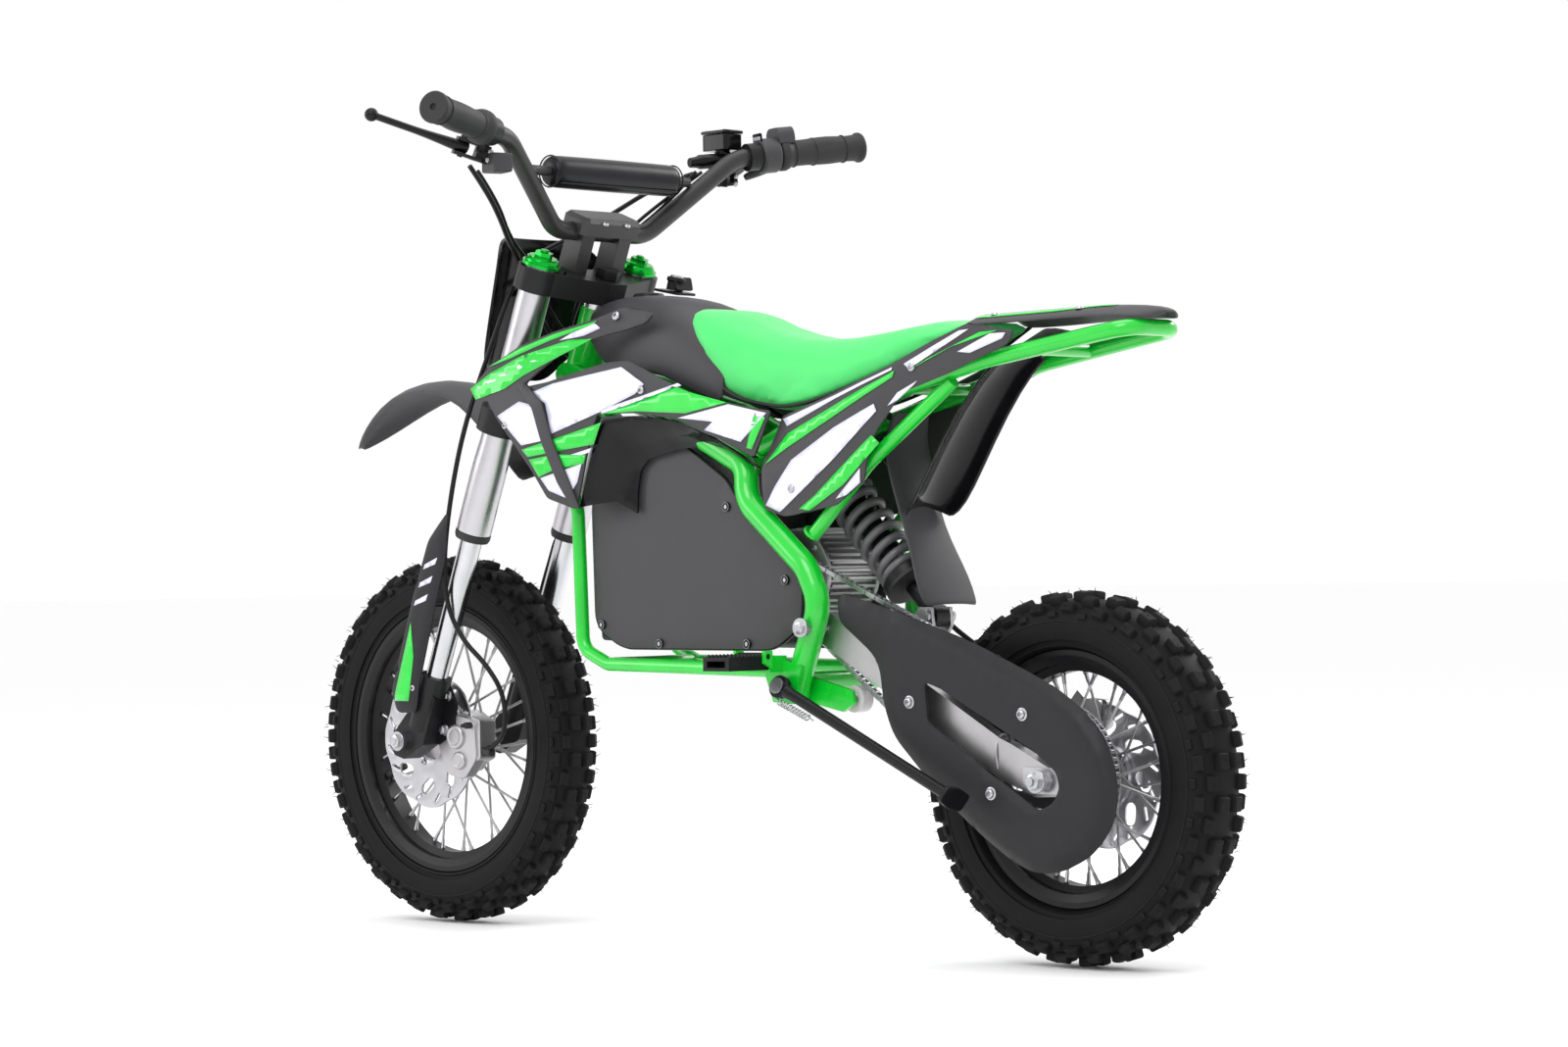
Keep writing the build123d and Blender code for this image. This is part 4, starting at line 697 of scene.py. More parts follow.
def body_panels(side, tag):
    """Shroud, scoop, rear panel, battery cover and their stripes on one side."""
    sheet(f"shroud_panel_{tag}", rounded(SHROUD, 5, 3), place(side, shroud_y), 3.0, "matte_black", "chassis",
          step=7, hides=(f"shroud_{tag}",))
    rib = ((760, 652), (748, 655), (712, 630), (697, 586), (676, 539), (660, 503), (673, 506), (692, 535),
           (713, 583), (727, 624))
    sheet(f"shroud_rib_{tag}", rounded(rib, 4), place(side, shroud_y, 3.4), 4.4, "matte_black", "chassis",
          step=7, bevel=1.2)
    for label, colour, outline in SHROUD_DECALS:
        sheet(f"shroud_{label}_{tag}", outline, place(side, shroud_y, 2.3), 0.6, colour, "chassis", step=7,
              bevel=0)
    for label, colour, outline in PANEL_DECALS:
        sheet(f"panel_{label}_{tag}", outline, place(side, panel_y, 2.3), 0.6, colour, "chassis", step=7,
              bevel=0)

    def scoop_y(x, z):
        near, far = open_distance((x, z), SCOOP_MOUTH), edge_distance((x, z), SHROUD)
        share = near / (near + far + 0.001)
        return 77 + (shroud_y(x, z) - 3 - 77) * smooth(share * 1.15)

    sheet(f"scoop_{tag}", rounded(SCOOP, 4, 3), place(side, scoop_y), 2.6, "gloss_black", "chassis", step=8,
          hides=("scoops",))
    sheet(f"side_panel_{tag}", rounded(SIDE_PANEL, 5, 3), place(side, panel_y), 3.0, "matte_black",
          "chassis", step=7, hides=("side_panels",))

    def cover_y(x, z):
        return 68.6 + 1.6 * smooth(edge_distance((x, z), COVER) / 60)

    sheet(f"battery_cover_{tag}", rounded(COVER, 18, 5), place(side, cover_y), 3.0, "matte_black", "chassis",
          step=16, bevel=0.9, hides=("side_covers",))
    gasket = Shape()
    rim = resampled(rounded(COVER, 18, 5), 14)
    gasket.tube([at(x, side * 67.5, z) for x, z in rim], 2.2, 8, closed=True)
    piece(f"cover_gasket_{tag}", gasket, "gloss_black", "chassis")
    black = Shape()
    for x, z in COVER_SCREWS:
        black.screw(at(x, side * 70.4, z), (0, side, 0), 5.6, 3.8)
    piece(f"cover_screws_{tag}", black, "black_metal", "chassis")
    bright = Shape()
    for x, z, depth in ((563, 638, shroud_y), (345, 520, panel_y), (170, 648, panel_y)):
        face_y = side * (depth(x, z) + 1.4)
        bright.screw(at(x, face_y, z), (0, side, 0), 5.0, 3.0)
    bright.screw(at(622, side * (shroud_y(622, 727) + 1.4), 727), (0, side, 0.3), 5.5, 3.5)
    bright.screw(at(775, side * (shroud_y(775, 604) + 1.4), 604), (0, side, 0), 4.0, 2.4)
    piece(f"panel_screws_{tag}", bright, "steel", "chassis")


def tank():
    """Tank cover: a rounded shell from the steering head to under the seat's nose."""
    stations = ((730, 744, 712, 26), (716, 749, 698, 34), (690, 753, 680, 47), (660, 755, 668, 58),
                (620, 753, 662, 66), (580, 748, 662, 70), (541, 738, 646, 71), (515, 722, 636, 70),
                (490, 703, 626, 70), (464, 680, 618, 70))
    rows = []
    for x, top, low, half in stations:
        row = []
        for k in range(25):
            a = pi * k / 24
            c, s = cos(a), sin(a)
            y = half * (abs(c) ** 0.72) * (1 if c >= 0 else -1)
            row.append(at(x, y, low + (top - low) * s ** 0.62))
        rows.append(row)
    loft("tank_shell", rows, 3.0, "matte_black", "chassis", ("tank_cover",))
    cap = Shape()
    cap.turned(at(655, 0, 750), (0, 0, 1), ((19, 0), (19, 5), (17, 8), (12, 9), (11, 7.5), (2, 7.5)), 40)
    piece("charge_port_cap", cap, "black_metal", "chassis", bevel=0.6)


def puff(obj, voxel, pressure, cap):
    """Swell a closed piece by a short cloth simulation; no point moves more than cap millimetres."""
    remesh = obj.modifiers.new("remesh", "REMESH")
    remesh.mode = "VOXEL"
    remesh.voxel_size = voxel * MM
    relax = obj.modifiers.new("relax", "SMOOTH")
    relax.factor, relax.iterations = 0.5, 6
    applied(obj)
    rest = [v.co.copy() for v in obj.data.vertices]
    cloth = obj.modifiers.new("cloth", "CLOTH")
    cloth.settings.use_pressure = True
    cloth.settings.uniform_pressure_force = pressure
    cloth.settings.effector_weights.gravity = 0
    cloth.settings.quality = 5
    for step in range(1, 21):
        bpy.context.scene.frame_set(step)
    applied(obj)
    for vertex, start in zip(obj.data.vertices, rest):
        move = vertex.co - start
        if move.length > cap * MM:
            vertex.co = start + move.normalized() * cap * MM
    bpy.context.scene.frame_set(1)
    soft = obj.modifiers.new("soft", "SUBSURF")
    soft.levels = soft.render_levels = 1
    applied(obj)
    obj.data.shade_smooth()


def seat():
    """Padded seat: a saddle section that wraps the tank at the nose and thins to the tail."""
    stations = ((538, 735, 722, 44), (528, 735, 706, 58), (512, 732, 686, 66), (490, 726, 658, 69),
                (465, 717, 634, 71), (436, 705, 622, 72), (405, 695, 616, 72.5), (370, 688, 611, 73),
                (330, 684, 615, 73), (290, 684, 625, 72), (250, 687, 637, 70), (210, 691, 650, 68),
                (170, 695, 664, 64), (135, 698, 680, 59), (108, 700, 692, 54))
    shape = Shape()
    rows = []
    for x, top, low, half in stations:
        row = []
        for k in range(28):
            a = 2 * pi * k / 28
            c, s = cos(a), sin(a)
            y = (half - 2.5) * abs(c) ** 0.5 * (1 if c >= 0 else -1)
            z = low + 3 + (top - 2 - low) * (s ** 0.55 if s > 0 else 0) - (3 * abs(s) ** 0.6 if s < 0 else 0)
            row.append(at(x, y, z))
        rows.append(row)
    shape.skin(rows)
    cushion = piece("seat_cover", shape, "seat_vinyl", "chassis", ("seat_cushion",), sharp=180)
    puff(cushion, 5.0, 4.0, 3.5)
    base = Shape()
    for side in (1, -1):
        edge = [at(x, side * (half - 3), low + 1) for x, top, low, half in stations[1:]]
        base.tube(b_spline(edge, 4), 2.2, 8)
    piece("seat_edge", base, "black_metal", "chassis")


def shell_rows(stations, count, drop, curve=2.2):
    """Rows across a curved mudguard: stations of (x, z, half width), edges lowered by drop."""
    rows = []
    for i, (x, z, half) in enumerate(stations):
        before, after = stations[max(i - 1, 0)], stations[min(i + 1, len(stations) - 1)]
        dx, dz = after[0] - before[0], after[1] - before[1]
        length = hypot(dx, dz)
        nx, nz = -dz / length, dx / length
        if nz < 0:
            nx, nz = -nx, -nz
        row = []
        for k in range(count):
            v = 2 * k / (count - 1) - 1
            sink = drop * abs(v) ** curve * min(1, half / 30)
            row.append(at(x - nx * sink, half * v, z - nz * sink))
        rows.append(row)
    return rows


def guards_and_flaps():
    """Front mudguard, tail, number plate and the flap behind the shock."""
    front = ((1181, 590, 5), (1160, 611, 22), (1126, 636, 36), (1082, 658, 46), (1034, 670, 51),
             (980, 669, 51), (930, 650, 50), (886, 613, 48), (852, 580, 46), (824, 548, 44))
    loft("front_mudguard", shell_rows(front, 13, 15), 3.0, "matte_black", "steering", ("front_fender",))
    tail = ((118, 703, 52), (60, 703, 52), (0, 704.5, 50), (-56, 705, 46), (-98, 703, 40), (-121, 699, 26),
            (-128, 696, 10))
    loft("tail_cowl", shell_rows(tail, 13, 12, 3.0), 3.0, "matte_black", "chassis", ("tail_fender",))
    flap = ((243, 604, 30), (247, 575, 36), (240, 545, 39), (231, 510, 36), (220, 478, 35), (206, 448, 39),
            (194, 420, 46), (184, 395, 46), (181, 389, 42))
    loft("rear_flap", shell_rows(flap, 11, 5), 2.6, "matte_black", "chassis", ("mud_flap",))

    inner = ((78, 668, 36), (104, 657, 40), (150, 606, 44), (188, 548, 46), (214, 508, 46), (228, 496, 40))
    loft("inner_mudguard", shell_rows(inner, 13, 16), 2.6, "gloss_black", "chassis", ("inner_fender",))

    def plate_surface(y, z):
        bend = 44 * (abs(y) / 88) ** 2.6
        return at(846 + (836 - z) / 168 * 40 + 11 - bend, y, z)

    outline = ((-88, 806), (-74, 826), (-52, 836), (52, 836), (74, 826), (88, 806), (82, 736), (74, 700),
               (48, 666), (-48, 666), (-74, 700), (-82, 736))
    sheet("front_number_plate", rounded(outline, 12), plate_surface, 3.2, "gloss_black", "steering",
          hides=("number_plate",))
    straps = Shape()
    for y in (34, -34):
        straps.tube(b_spline([at(779, y, 776), at(820, y, 772), at(862, y, 768)]), 4, 8)
    piece("plate_straps", straps, "hose", "steering")
    screws = Shape()
    for x, y, z in ((252, 24, 598), (252, -24, 598), (258, 22, 572), (258, -22, 572)):
        screws.screw(at(x, y, z), (1, 0, 0.2), 5, 3)
    for x, y in ((90, 30), (90, -30), (-30, 32), (-30, -32)):
        screws.screw(at(x, y, tail_top(x, y) + 1.2), (0, 0, 1), 4.5, 2.5)
    piece("flap_screws", screws, "steel", "chassis")
    for label, colour, low, high in (("green", "decal_green", 26, 40), ("white", "decal_white", 20, 24)):
        for side, tag in ((1, "left"), (-1, "right")):
            stripe = ((110, low + 4), (0, low), (-70, low - 8), (-70, low - 2), (0, high - 2), (110, high))
            sheet(f"tail_stripe_{label}_{tag}", stripe,
                  lambda x, y, side=side: at(x, side * y, tail_top(x, y) + 1.8), 0.5, colour, "chassis",
                  step=12, bevel=0)


def tail_top(x, y):
    """Height of the tail cowl's upper face."""
    height = interp(((-128, 696), (-98, 703), (-56, 705), (0, 704.5), (118, 703)), x)
    half = interp(((-128, 10), (-121, 26), (-98, 40), (-56, 46), (0, 50), (118, 52)), x)
    return height - 12 * min(1, abs(y) / half) ** 3 * min(1, half / 30)


# ------------------------------------------------------------------ front end
LEGS = ((FORK_OFFSET, FORK_HALF), (FORK_OFFSET, -FORK_HALF))


def fork():
    """Brushed upper tubes that flare at their lower end, their seals, and clamp bolts."""
    tubes, seals, bolts = Shape(), Shape(), Shape()
    profile = ((19.4, SEAL_Z), (21.4, SEAL_Z + 1), (21.6, -318), (21.6, -262), (21.2, -246), (19.8, -222),
               (19.6, -28), (19.4, 2))
    seal = ((15, SEAL_Z - 9), (20.4, SEAL_Z - 9), (21.8, SEAL_Z - 5), (21.8, SEAL_Z), (15, SEAL_Z))
    for x, y in LEGS:
        axis = steer(0, 0, 1) - steer(0, 0, 0)
        tubes.turned(steer(x, y, 0), axis, profile, 48)
        seals.turned(steer(x, y, 0), axis, seal, 40)
        side = 1 if y > 0 else -1
        for z in (-8, -20):
            bolts.screw(steer(x - 30, y - side * 19, z), steer(-1, side * 0.35, 0) - steer(0, 0, 0),
                        4.6, 3.2)
        for z in (-185, -200):
            bolts.screw(steer(x - 31, y - side * 16, z), steer(-1, side * 0.3, 0) - steer(0, 0, 0), 4.6, 3.2)
    piece("fork_upper_tubes", tubes, "tube_aluminium", "steering", ("fork_tubes",))
    piece("fork_seals", seals, "grip_rubber", "steering")
    for x, y in ((-18, 18), (-18, -18), (18, 38), (18, -38)):
        bolts.screw(steer(x + 26, y, 64), steer(0, 0, 1) - steer(0, 0, 0), 4.6, 3.2)
    piece("clamp_screws", bolts, "steel", "steering")
    rings = Shape()
    up = steer(0, 0, 1) - steer(0, 0, 0)
    for x, y in LEGS:
        rings.turned(steer(x, y, 5.5), up, ((16.5, 0), (16.5, 6), (19, 6), (20.5, 3), (20.5, 0)), 40)
        rings.turned(steer(x, y, 19), up, ((5, 0), (5, 2.5), (3.4, 3.2)), 20)
    piece("fork_adjusters", rings, "green_anodised", "steering")


def grips():
    """Soft grips with end flanges, a waist and finger dents."""
    def dents(angle, h):
        waves = max(0, cos(3 * angle)) ** 2 * sin(pi * min(max((h - 20) / 78, 0), 1)) ** 2
        return -1.3 * waves

    for side, name, node, body in ((1, "left_grip", "grip_left", "steering"),
                                   (-1, "throttle_sleeve", "throttle_grip", "throttle")):
        axis = along_grip(side, 100) - along_grip(side, 0)
        profile = [(3.5, 3), (4, 0.2), (17.5, 0), (18.6, 2), (18.6, 5), (16.8, 7), (16.2, 12), (15.8, 22),
                   (16.6, 34), (17.4, 48), (17.2, 62), (16.2, 78), (16.0, 92), (16.6, 101), (18.8, 104),
                   (20.5, 108), (20.5, 114), (18.5, 117), (12, 118)]
        shape = Shape()
        shape.turned(along_grip(side, 0), axis, profile, 48, ripple=dents)
        for h in (26, 68, 96) if side < 0 else (18, 96):
            ring = [along_grip(side, h) + Vector(p) for p in ring_points(axis, 16.6, 40)]
            shape.tube(ring, 0.9, 6, closed=True)
        piece(name, shape, "grip_rubber", body, (node,), sharp=60)


def ring_points(axis, radius, count):
    """Points on a circle about an axis through the origin."""
    axis = Vector(axis).normalized()
    across = axis.orthogonal().normalized()
    up = axis.cross(across)
    return [(across * cos(a) + up * sin(a)) * radius * MM
            for a in (2 * pi * k / count for k in range(count))]


def lever_frame(side, slide):
    """Origin, direction along the lever, direction ahead and axis of a lever's swing."""
    grip_dir = (along_grip(1, 0) - along_grip(1, 100)).normalized()
    along = (at(*LEVER_BALL) - at(*LEVER_PIVOT)).normalized()
    axis = along.cross(grip_dir).normalized()
    ahead = axis.cross(along)
    origin = at(*LEVER_PIVOT) - grip_dir * slide * MM
    if side < 0:
        origin, along, ahead, axis = (Vector((v.x, -v.y, v.z)) for v in (origin, along, ahead, axis))
    return origin, along, ahead, axis


def levers():
    """Blade levers with ball ends, and what sits on the perches."""
    for side, slide, tag in ((1, 0, "left"), (-1, RIGHT_SLIDE, "right")):
        origin, along, ahead, axis = lever_frame(side, slide)
        reach = (at(*LEVER_BALL) - at(*LEVER_PIVOT)).length / MM
        shape = Shape()
        path = [origin + along * d * MM + ahead * o * MM
                for d, o in ((-5, 0), (8, 1.5), (22, 4), (40, 4.5), (60, 2.5), (80, 0.5), (reach - 6, 0))]
        shape.tube(b_spline(path, 5), lambda t: 9.5 - 3.8 * smooth(t * 1.3), 14, flat=0.72)
        arc = [(8 * cos(a), 8 * sin(a)) for a in (radians(-70 + 20 * k) for k in range(8))]
        ball = [(0.5, -8)] + arc + [(0.5, 8)]
        shape.turned(origin + along * reach * MM, along, ball, 24)
        shape.turned(origin, axis, ((3, -12), (3, 12)), 16)
        shape.turned(origin, axis, ((5.5, 10.6), (5.5, 13), (4, 14)), 20)
        piece(f"lever_blade_{tag}", shape, "black_metal", f"lever_{tag}", (f"brake_lever_{tag}",), sharp=60)
        perch = Shape()
        for z in (5, -5):
            perch.bolt(origin - along * 30 * MM + ahead * 14 * MM + axis * z * MM, ahead, 6, 3)
        perch.bolt(origin - along * 16 * MM + axis * 8 * MM, axis, 7, 4)
        piece(f"perch_bolts_{tag}", perch, "steel", "steering")
    tray = Shape()
    corner = at(722, -196, 945)
    tray.prism(corner, (1, 0, 0), (0, 1, 0), rounded(((-21, -15), (21, -15), (21, 15), (-21, 15)), 5), 20)
    tray.prism(corner + Vector((0, 0, 0.0205)), (1, 0, 0), (0, 1, 0),
               rounded(((-22.5, -16.5), (22.5, -16.5), (22.5, 16.5), (-22.5, 16.5)), 5), 4)
    tray.tube([at(722, -190, 948), at(716, -200, 936), at(700, -206, 934)], 8, 14)
    tray.turned(at(722, -180, 932), (0.25, 0.9, -0.1), ((9, -24), (9, 20), (7, 24), (6, 34)), 24)
    piece("brake_reservoir", tray, "gloss_black", "steering", bevel=1.0)
    lids = Shape()
    for x in (-15, 15):
        for y in (-10, 10):
            lids.screw(corner + Vector((x, y, 24.5)) * MM, (0, 0, 1), 2.6, 1.4)
    piece("reservoir_screws", lids, "steel", "steering")
    box = Shape()
    box.prism(along_grip(1, 142) + Vector((0.012, 0, -0.034)), (0.95, -0.3, 0), (0, 0, 1),
              rounded(((-17, -11), (17, -11), (17, 11), (-17, 11)), 4), 24)
    piece("left_switch_box", box, "matte_black", "steering", bevel=1.2)


def throttle():
    """Throttle housing with its charge display and cable spout."""
    axis = (along_grip(-1, 100) - along_grip(-1, 0)).normalized()
    up = (Vector((0, 0, 1)) - axis * axis.z).normalized()
    side = axis.cross(up)
    body, shape = along_grip(-1, 131), Shape()
    drum = ((12, 0), (19.5, 0), (21.5, 2), (21.5, 22), (19.5, 24.5), (12, 24.5))
    shape.turned(along_grip(-1, 119), axis, drum, 40)
    face = body + up * 16 * MM
    shape.prism(face - axis * 11 * MM, side, up, rounded(((-17, -4), (17, -4), (19, 10), (12, 17), (-12, 17),
                                                         (-17, 10)), 4), 22)
    shape.turned(body - up * 14 * MM + side * 6 * MM, axis + side * 0.7 - up * 0.4,
                 ((7, 0), (6, 14), (4.5, 26), (3.5, 30)), 20)
    piece("throttle_body", shape, "matte_black", "steering", ("throttle_housing",), bevel=1.0)
    window = Shape()
    window.prism(face + axis * 11.05 * MM, side, up,
                 rounded(((-12, 0), (12, 0), (12, 12), (-12, 12)), 3), 0.8)
    piece("charge_display", window, "gloss_black", "steering")
    bars = Shape()
    for k in range(5):
        bars.prism(face + axis * 11.9 * MM, side, up, ((-9 + k * 4, 4), (-6.4 + k * 4, 4), (-6.4 + k * 4, 8),
                                                     (-9 + k * 4, 8)), 0.3)
    piece("display_bars", bars, "decal_white", "steering")


def bar_fittings():
    """Padded crossbar sleeve, key switch and its bracket."""
    shape = Shape()
    centre, profile = at(715, 0, 902), []
    for y, r in ((-104, 8), (-103.5, 14), (-101, 18), (-94, 19.4), (-60, 19.6), (0, 19.8), (60, 19.6),
                 (94, 19.4), (101, 18), (103.5, 14), (104, 8)):
        profile.append((r, y))
    shape.turned(centre, (0, 1, 0), profile, 40)
    pad = piece("crossbar_pad", shape, "pad_black", "steering", ("bar_pad",), sharp=180)
    puff(pad, 4.0, 3.0, 1.4)
    seam = Shape()
    seam.tube([centre + Vector((-0.0145, y * MM, -0.0145)) for y in range(-96, 97, 8)], 1.1, 8)
    for y in (-101, 101):
        ring = [centre + Vector((0, y * MM, 0)) + p for p in ring_points((0, 1, 0), 18.6, 36)]
        seam.tube(ring, 1.0, 6, closed=True)
    piece("pad_seam", seam, "hose", "steering")
    key = Shape()
    key.prism(at(668, -66, 762), (1, 0, 0.2), (0, 1, 0),
              rounded(((-24, -3), (16, -3), (16, 30), (-24, 30)), 3), 3)
    key.prism(at(646, -62, 764), (0, 1, 0), (0.2, 0, 1),
              rounded(((-4, 0), (24, 0), (24, 16), (-4, 16)), 3), 3)
    key.turned(at(658, -46, 764), (-0.2, -0.1, 1), ((10, 0), (10, 10), (11.5, 11), (11.5, 15), (9, 16)), 28)
    piece("key_switch_bracket", key, "black_metal", "chassis", bevel=0.5)
    lock = Shape()
    lock.turned(at(655, -47.6, 779.5), (-0.2, -0.1, 1), ((8, 0), (8, 1.6), (6.5, 2.4)), 28)
    piece("key_lock", lock, "steel", "chassis")


GUARD = ((899, 506), (935, 471), (965, 401), (1006, 288), (996, 262), (962, 262), (955, 300), (925, 392),
         (905, 450))


def fork_lower():
    """Fork guards with stripes, axle-foot bolts and a shaped caliper."""
    def guard_y(x, z):
        return 104.4 - 2.5 * (1 - smooth(edge_distance((x, z), GUARD) / 9)) + 1.5

    for side, tag in ((1, "left"), (-1, "right")):
        sheet(f"fork_guard_{tag}", rounded(GUARD, 8, 4), place(side, guard_y), 2.6, "guard_black",
              "fork_lower", step=7, hides=("fork_guards",))
        triangle = ((1000, 276), (972, 276), (962, 330), (966, 372))
        sheet(f"guard_green_{tag}", triangle, place(side, guard_y, 1.6), 0.5, "decal_green", "fork_lower",
              step=8, bevel=0)
        for k in range(3):
            low = 392 + k * 22
            stripe = ((960 - k * 9, low), (938 - k * 9, low + 6), (934 - k * 9, low + 14),
                      (957 - k * 9, low + 6))
            sheet(f"guard_stripe_{k}_{tag}", stripe, place(side, guard_y, 1.6), 0.5, "decal_white",
                  "fork_lower", step=8, bevel=0)
    bolts = Shape()
    for x, z, y in ((968, 277, 68.3), (989, 237, 68.3), (944, 282, 68.3), (950, 240, 68.3)):
        bolts.bolt(at(x, y, z), (0, 1, 0), 9, 5, 7)
    for side in (1, -1):
        bolts.bolt(at(WHEELBASE, side * 100.5, FRONT_R), (0, side, 0), 15, 5, 12)
        bolts.screw(at(966, side * 105, 292), (0, side, 0), 4, 2.5)
    piece("fork_foot_bolts", bolts, "steel", "fork_lower")
    caliper = Shape()
    body = rounded(((900, 252), (948, 262), (966, 226), (950, 186), (918, 180), (896, 206)), 9)
    caliper.prism(at(0, 50.5, 0), (1, 0, 0), (0, 0, 1), [(x, z) for x, z in reversed(body)], -16)
    inner = rounded(((900, 248), (944, 254), (958, 226), (944, 192), (918, 188), (900, 208)), 8)
    caliper.prism(at(0, 37.5, 0), (1, 0, 0), (0, 0, 1), [(x, z) for x, z in reversed(inner)], -7)
    bridge = rounded(((892, 252), (892, 206), (906, 200), (908, 258)), 4)
    caliper.prism(at(0, 38, 0), (1, 0, 0), (0, 0, 1), bridge, -26)
    for x, z, r in ((932, 232, 15), (926, 203, 11)):
        caliper.turned(at(x, 66, z), (0, 1, 0), ((r, 0), (r, 3), (r - 2, 5), (r - 4, 5.2), (r - 5, 4)), 28)
    piece("front_brake_caliper", caliper, "raw_aluminium", "fork_lower", ("front_caliper",), bevel=1.6)
    details = Shape()
    details.turned(at(884, 57, 214), (1, 0, 0), ((5.5, -6), (5.5, 8), (7, 9), (7, 14)), 20)
    details.turned(at(906, 66, 246), (0.2, 1, 0), ((4, 0), (4, 8), (2.5, 9), (2.5, 13)), 16)
    details.turned(at(948, 58, 262), (0, 0, 1), ((5, -4), (5, 16), (3.5, 18)), 16)
    piece("caliper_fittings", details, "grip_rubber", "fork_lower", bevel=0.4)


# ------------------------------------------------------------------ drive and rear end
CHAIN_GUARD = ((280, 396), (272, 403), (175, 377), (91, 350), (20, 321), (-28, 300), (-66, 276), (-95, 240),
               (-108, 202), (-102, 160), (-72, 126), (-30, 107), (8, 105), (42, 120), (81, 145), (136, 186),
               (199, 247), (213, 281), (219, 330), (278, 372))
GUARD_WINDOW = ((150, 306), (127, 299), (-8, 232), (-34, 212), (-38, 196), (-29, 180), (-9, 171), (66, 213),
                (146, 263))


def chain_guard():
    """Moulded chain guard with a rolled edge, a raised middle and a window round the arm."""
    def guard_y(x, z):
        d = edge_distance((x, z), CHAIN_GUARD)
        roll = interp(((-100, 11), (60, 8), (200, 3)), x)
        return 84.4 - roll * (1 - smooth(d / 12)) + 1.0 * smooth((d - 20) / 2.5)

    sheet("chain_guard_shell", rounded(CHAIN_GUARD, 26, 5), place(1, guard_y), 3.0, "guard_black",
          "swingarm", holes=[rounded(GUARD_WINDOW, 6, 3)], step=6.5, bevel=0.6, hides=("chain_guard",))
    bolts = Shape()
    for x, z in ((12, 273), (57, 188), (172, 284)):
        bolts.screw(at(x, 87, z), (0, 1, 0), 7.2, 1.2)
        bolts.screw(at(x, 87.8, z), (0, 1, 0), 5.4, 4.0)
    piece("chain_guard_screws", bolts, "steel", "swingarm")


def swingarm_fittings():
    """Axle adjusters and welds."""
    fittings = Shape()
    for side in (1, -1):
        fittings.bolt(at(0, side * 80.4, REAR_R), (0, side, 0), 17, 6, 13)
        fittings.tube([at(x, side * 62, z) for x, z in ((48, 222), (24, 210), (8, 204))], 3.0, 10)
        for k in range(2):
            fittings.bolt(at(40 - k * 9, side * 62, 218 - k * 4.5), (0.9, 0, 0.44), 8, 4)
    piece("axle_adjusters", fittings, "steel", "swingarm")
    seams = Shape()
    for side in (1, -1):
        collar = [at(62 + 3 * cos(a), side * (59.5 + 8.5 * cos(a)), 228 + 22 * sin(a))
                  for a in (2 * pi * k / 28 for k in range(28))]
        seams.tube(collar, 1.6, 6, closed=True)
    for y in (-21, 21):
        seams.turned(at(SHOCK_LOW[0], y, SHOCK_LOW[1]), (0, 1, 0), ((9.6, -2), (9.6, 2)), 28)
    piece("swingarm_seams", seams, "raw_aluminium", "swingarm")


def chain_links():
    """Roller chain round both sprockets, as links at a steady pitch."""
    near, far = (MOTOR_X, MOTOR_Z, MOTOR_WRAP), (0.0, REAR_R, REAR_WRAP)
    dx, dz = far[0] - near[0], far[1] - near[1]
    span = hypot(dx, dz)
    base, tilt = atan2(dz, dx), (far[2] - near[2]) / span
    lean = pi / 2 + asin(tilt)
    path = []
    for k in range(40):
        a = base - lean + (2 * lean) * k / 39
        path.append((far[0] + far[2] * cos(a), far[1] + far[2] * sin(a)))
    for k in range(24):
        a = base + lean + (2 * pi - 2 * lean) * k / 23
        path.append((near[0] + near[2] * cos(a), near[1] + near[2] * sin(a)))
    spaced = resampled(path, 4.0)
    steps = [hypot(b[0] - a[0], b[1] - a[1]) for a, b in zip(spaced, spaced[1:] + spaced[:1])]
    total = sum(steps)
    count = 2 * round(total / CHAIN_PITCH / 2)
    stations, walked, k = [], 0.0, 0
    for n in range(count):
        target = total * n / count
        while walked + steps[k] < target:
            walked += steps[k]
            k += 1
        t = (target - walked) / steps[k]
        stations.append(Vector(spaced[k]).lerp(Vector(spaced[(k + 1) % len(spaced)]), t))
    links = Shape()
    for n, here in enumerate(stations):
        after = stations[(n + 1) % count]
        u = after - here
        gap = 2.6 if n % 2 else 3.6
        direction = Vector((u.x, 0, u.y)).normalized()
        across = Vector((-u.y, 0, u.x)).normalized()
        outline = [(u.length * 0.5 + (u.length * 0.5 + 3.4 * abs(cos(a))) * (1 if cos(a) > 0 else -1)
                    if abs(cos(a)) > 0.3 else u.length * 0.5, (3.6 if abs(cos(a)) > 0.3 else 2.6) * sin(a))
                   for a in (2 * pi * (k + 0.5) / 12 for k in range(12))]
        for y in (CHAIN_Y + gap, CHAIN_Y - gap - 0.9):
            links.prism(at(here.x, y + 0.9, here.y), direction, across, outline, 0.9)
        links.turned(at(here.x, 41.6, here.y), (0, 1, 0), ((2.0, 0), (2.0, 8.8)), 8)
        links.turned(at(here.x, 43.8, here.y), (0, 1, 0), ((2.9, 0), (2.9, 4.4)), 10)
    obj = piece("drive_chain", links, "steel", "swingarm", ("chain",), ride=False)
    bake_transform(obj)


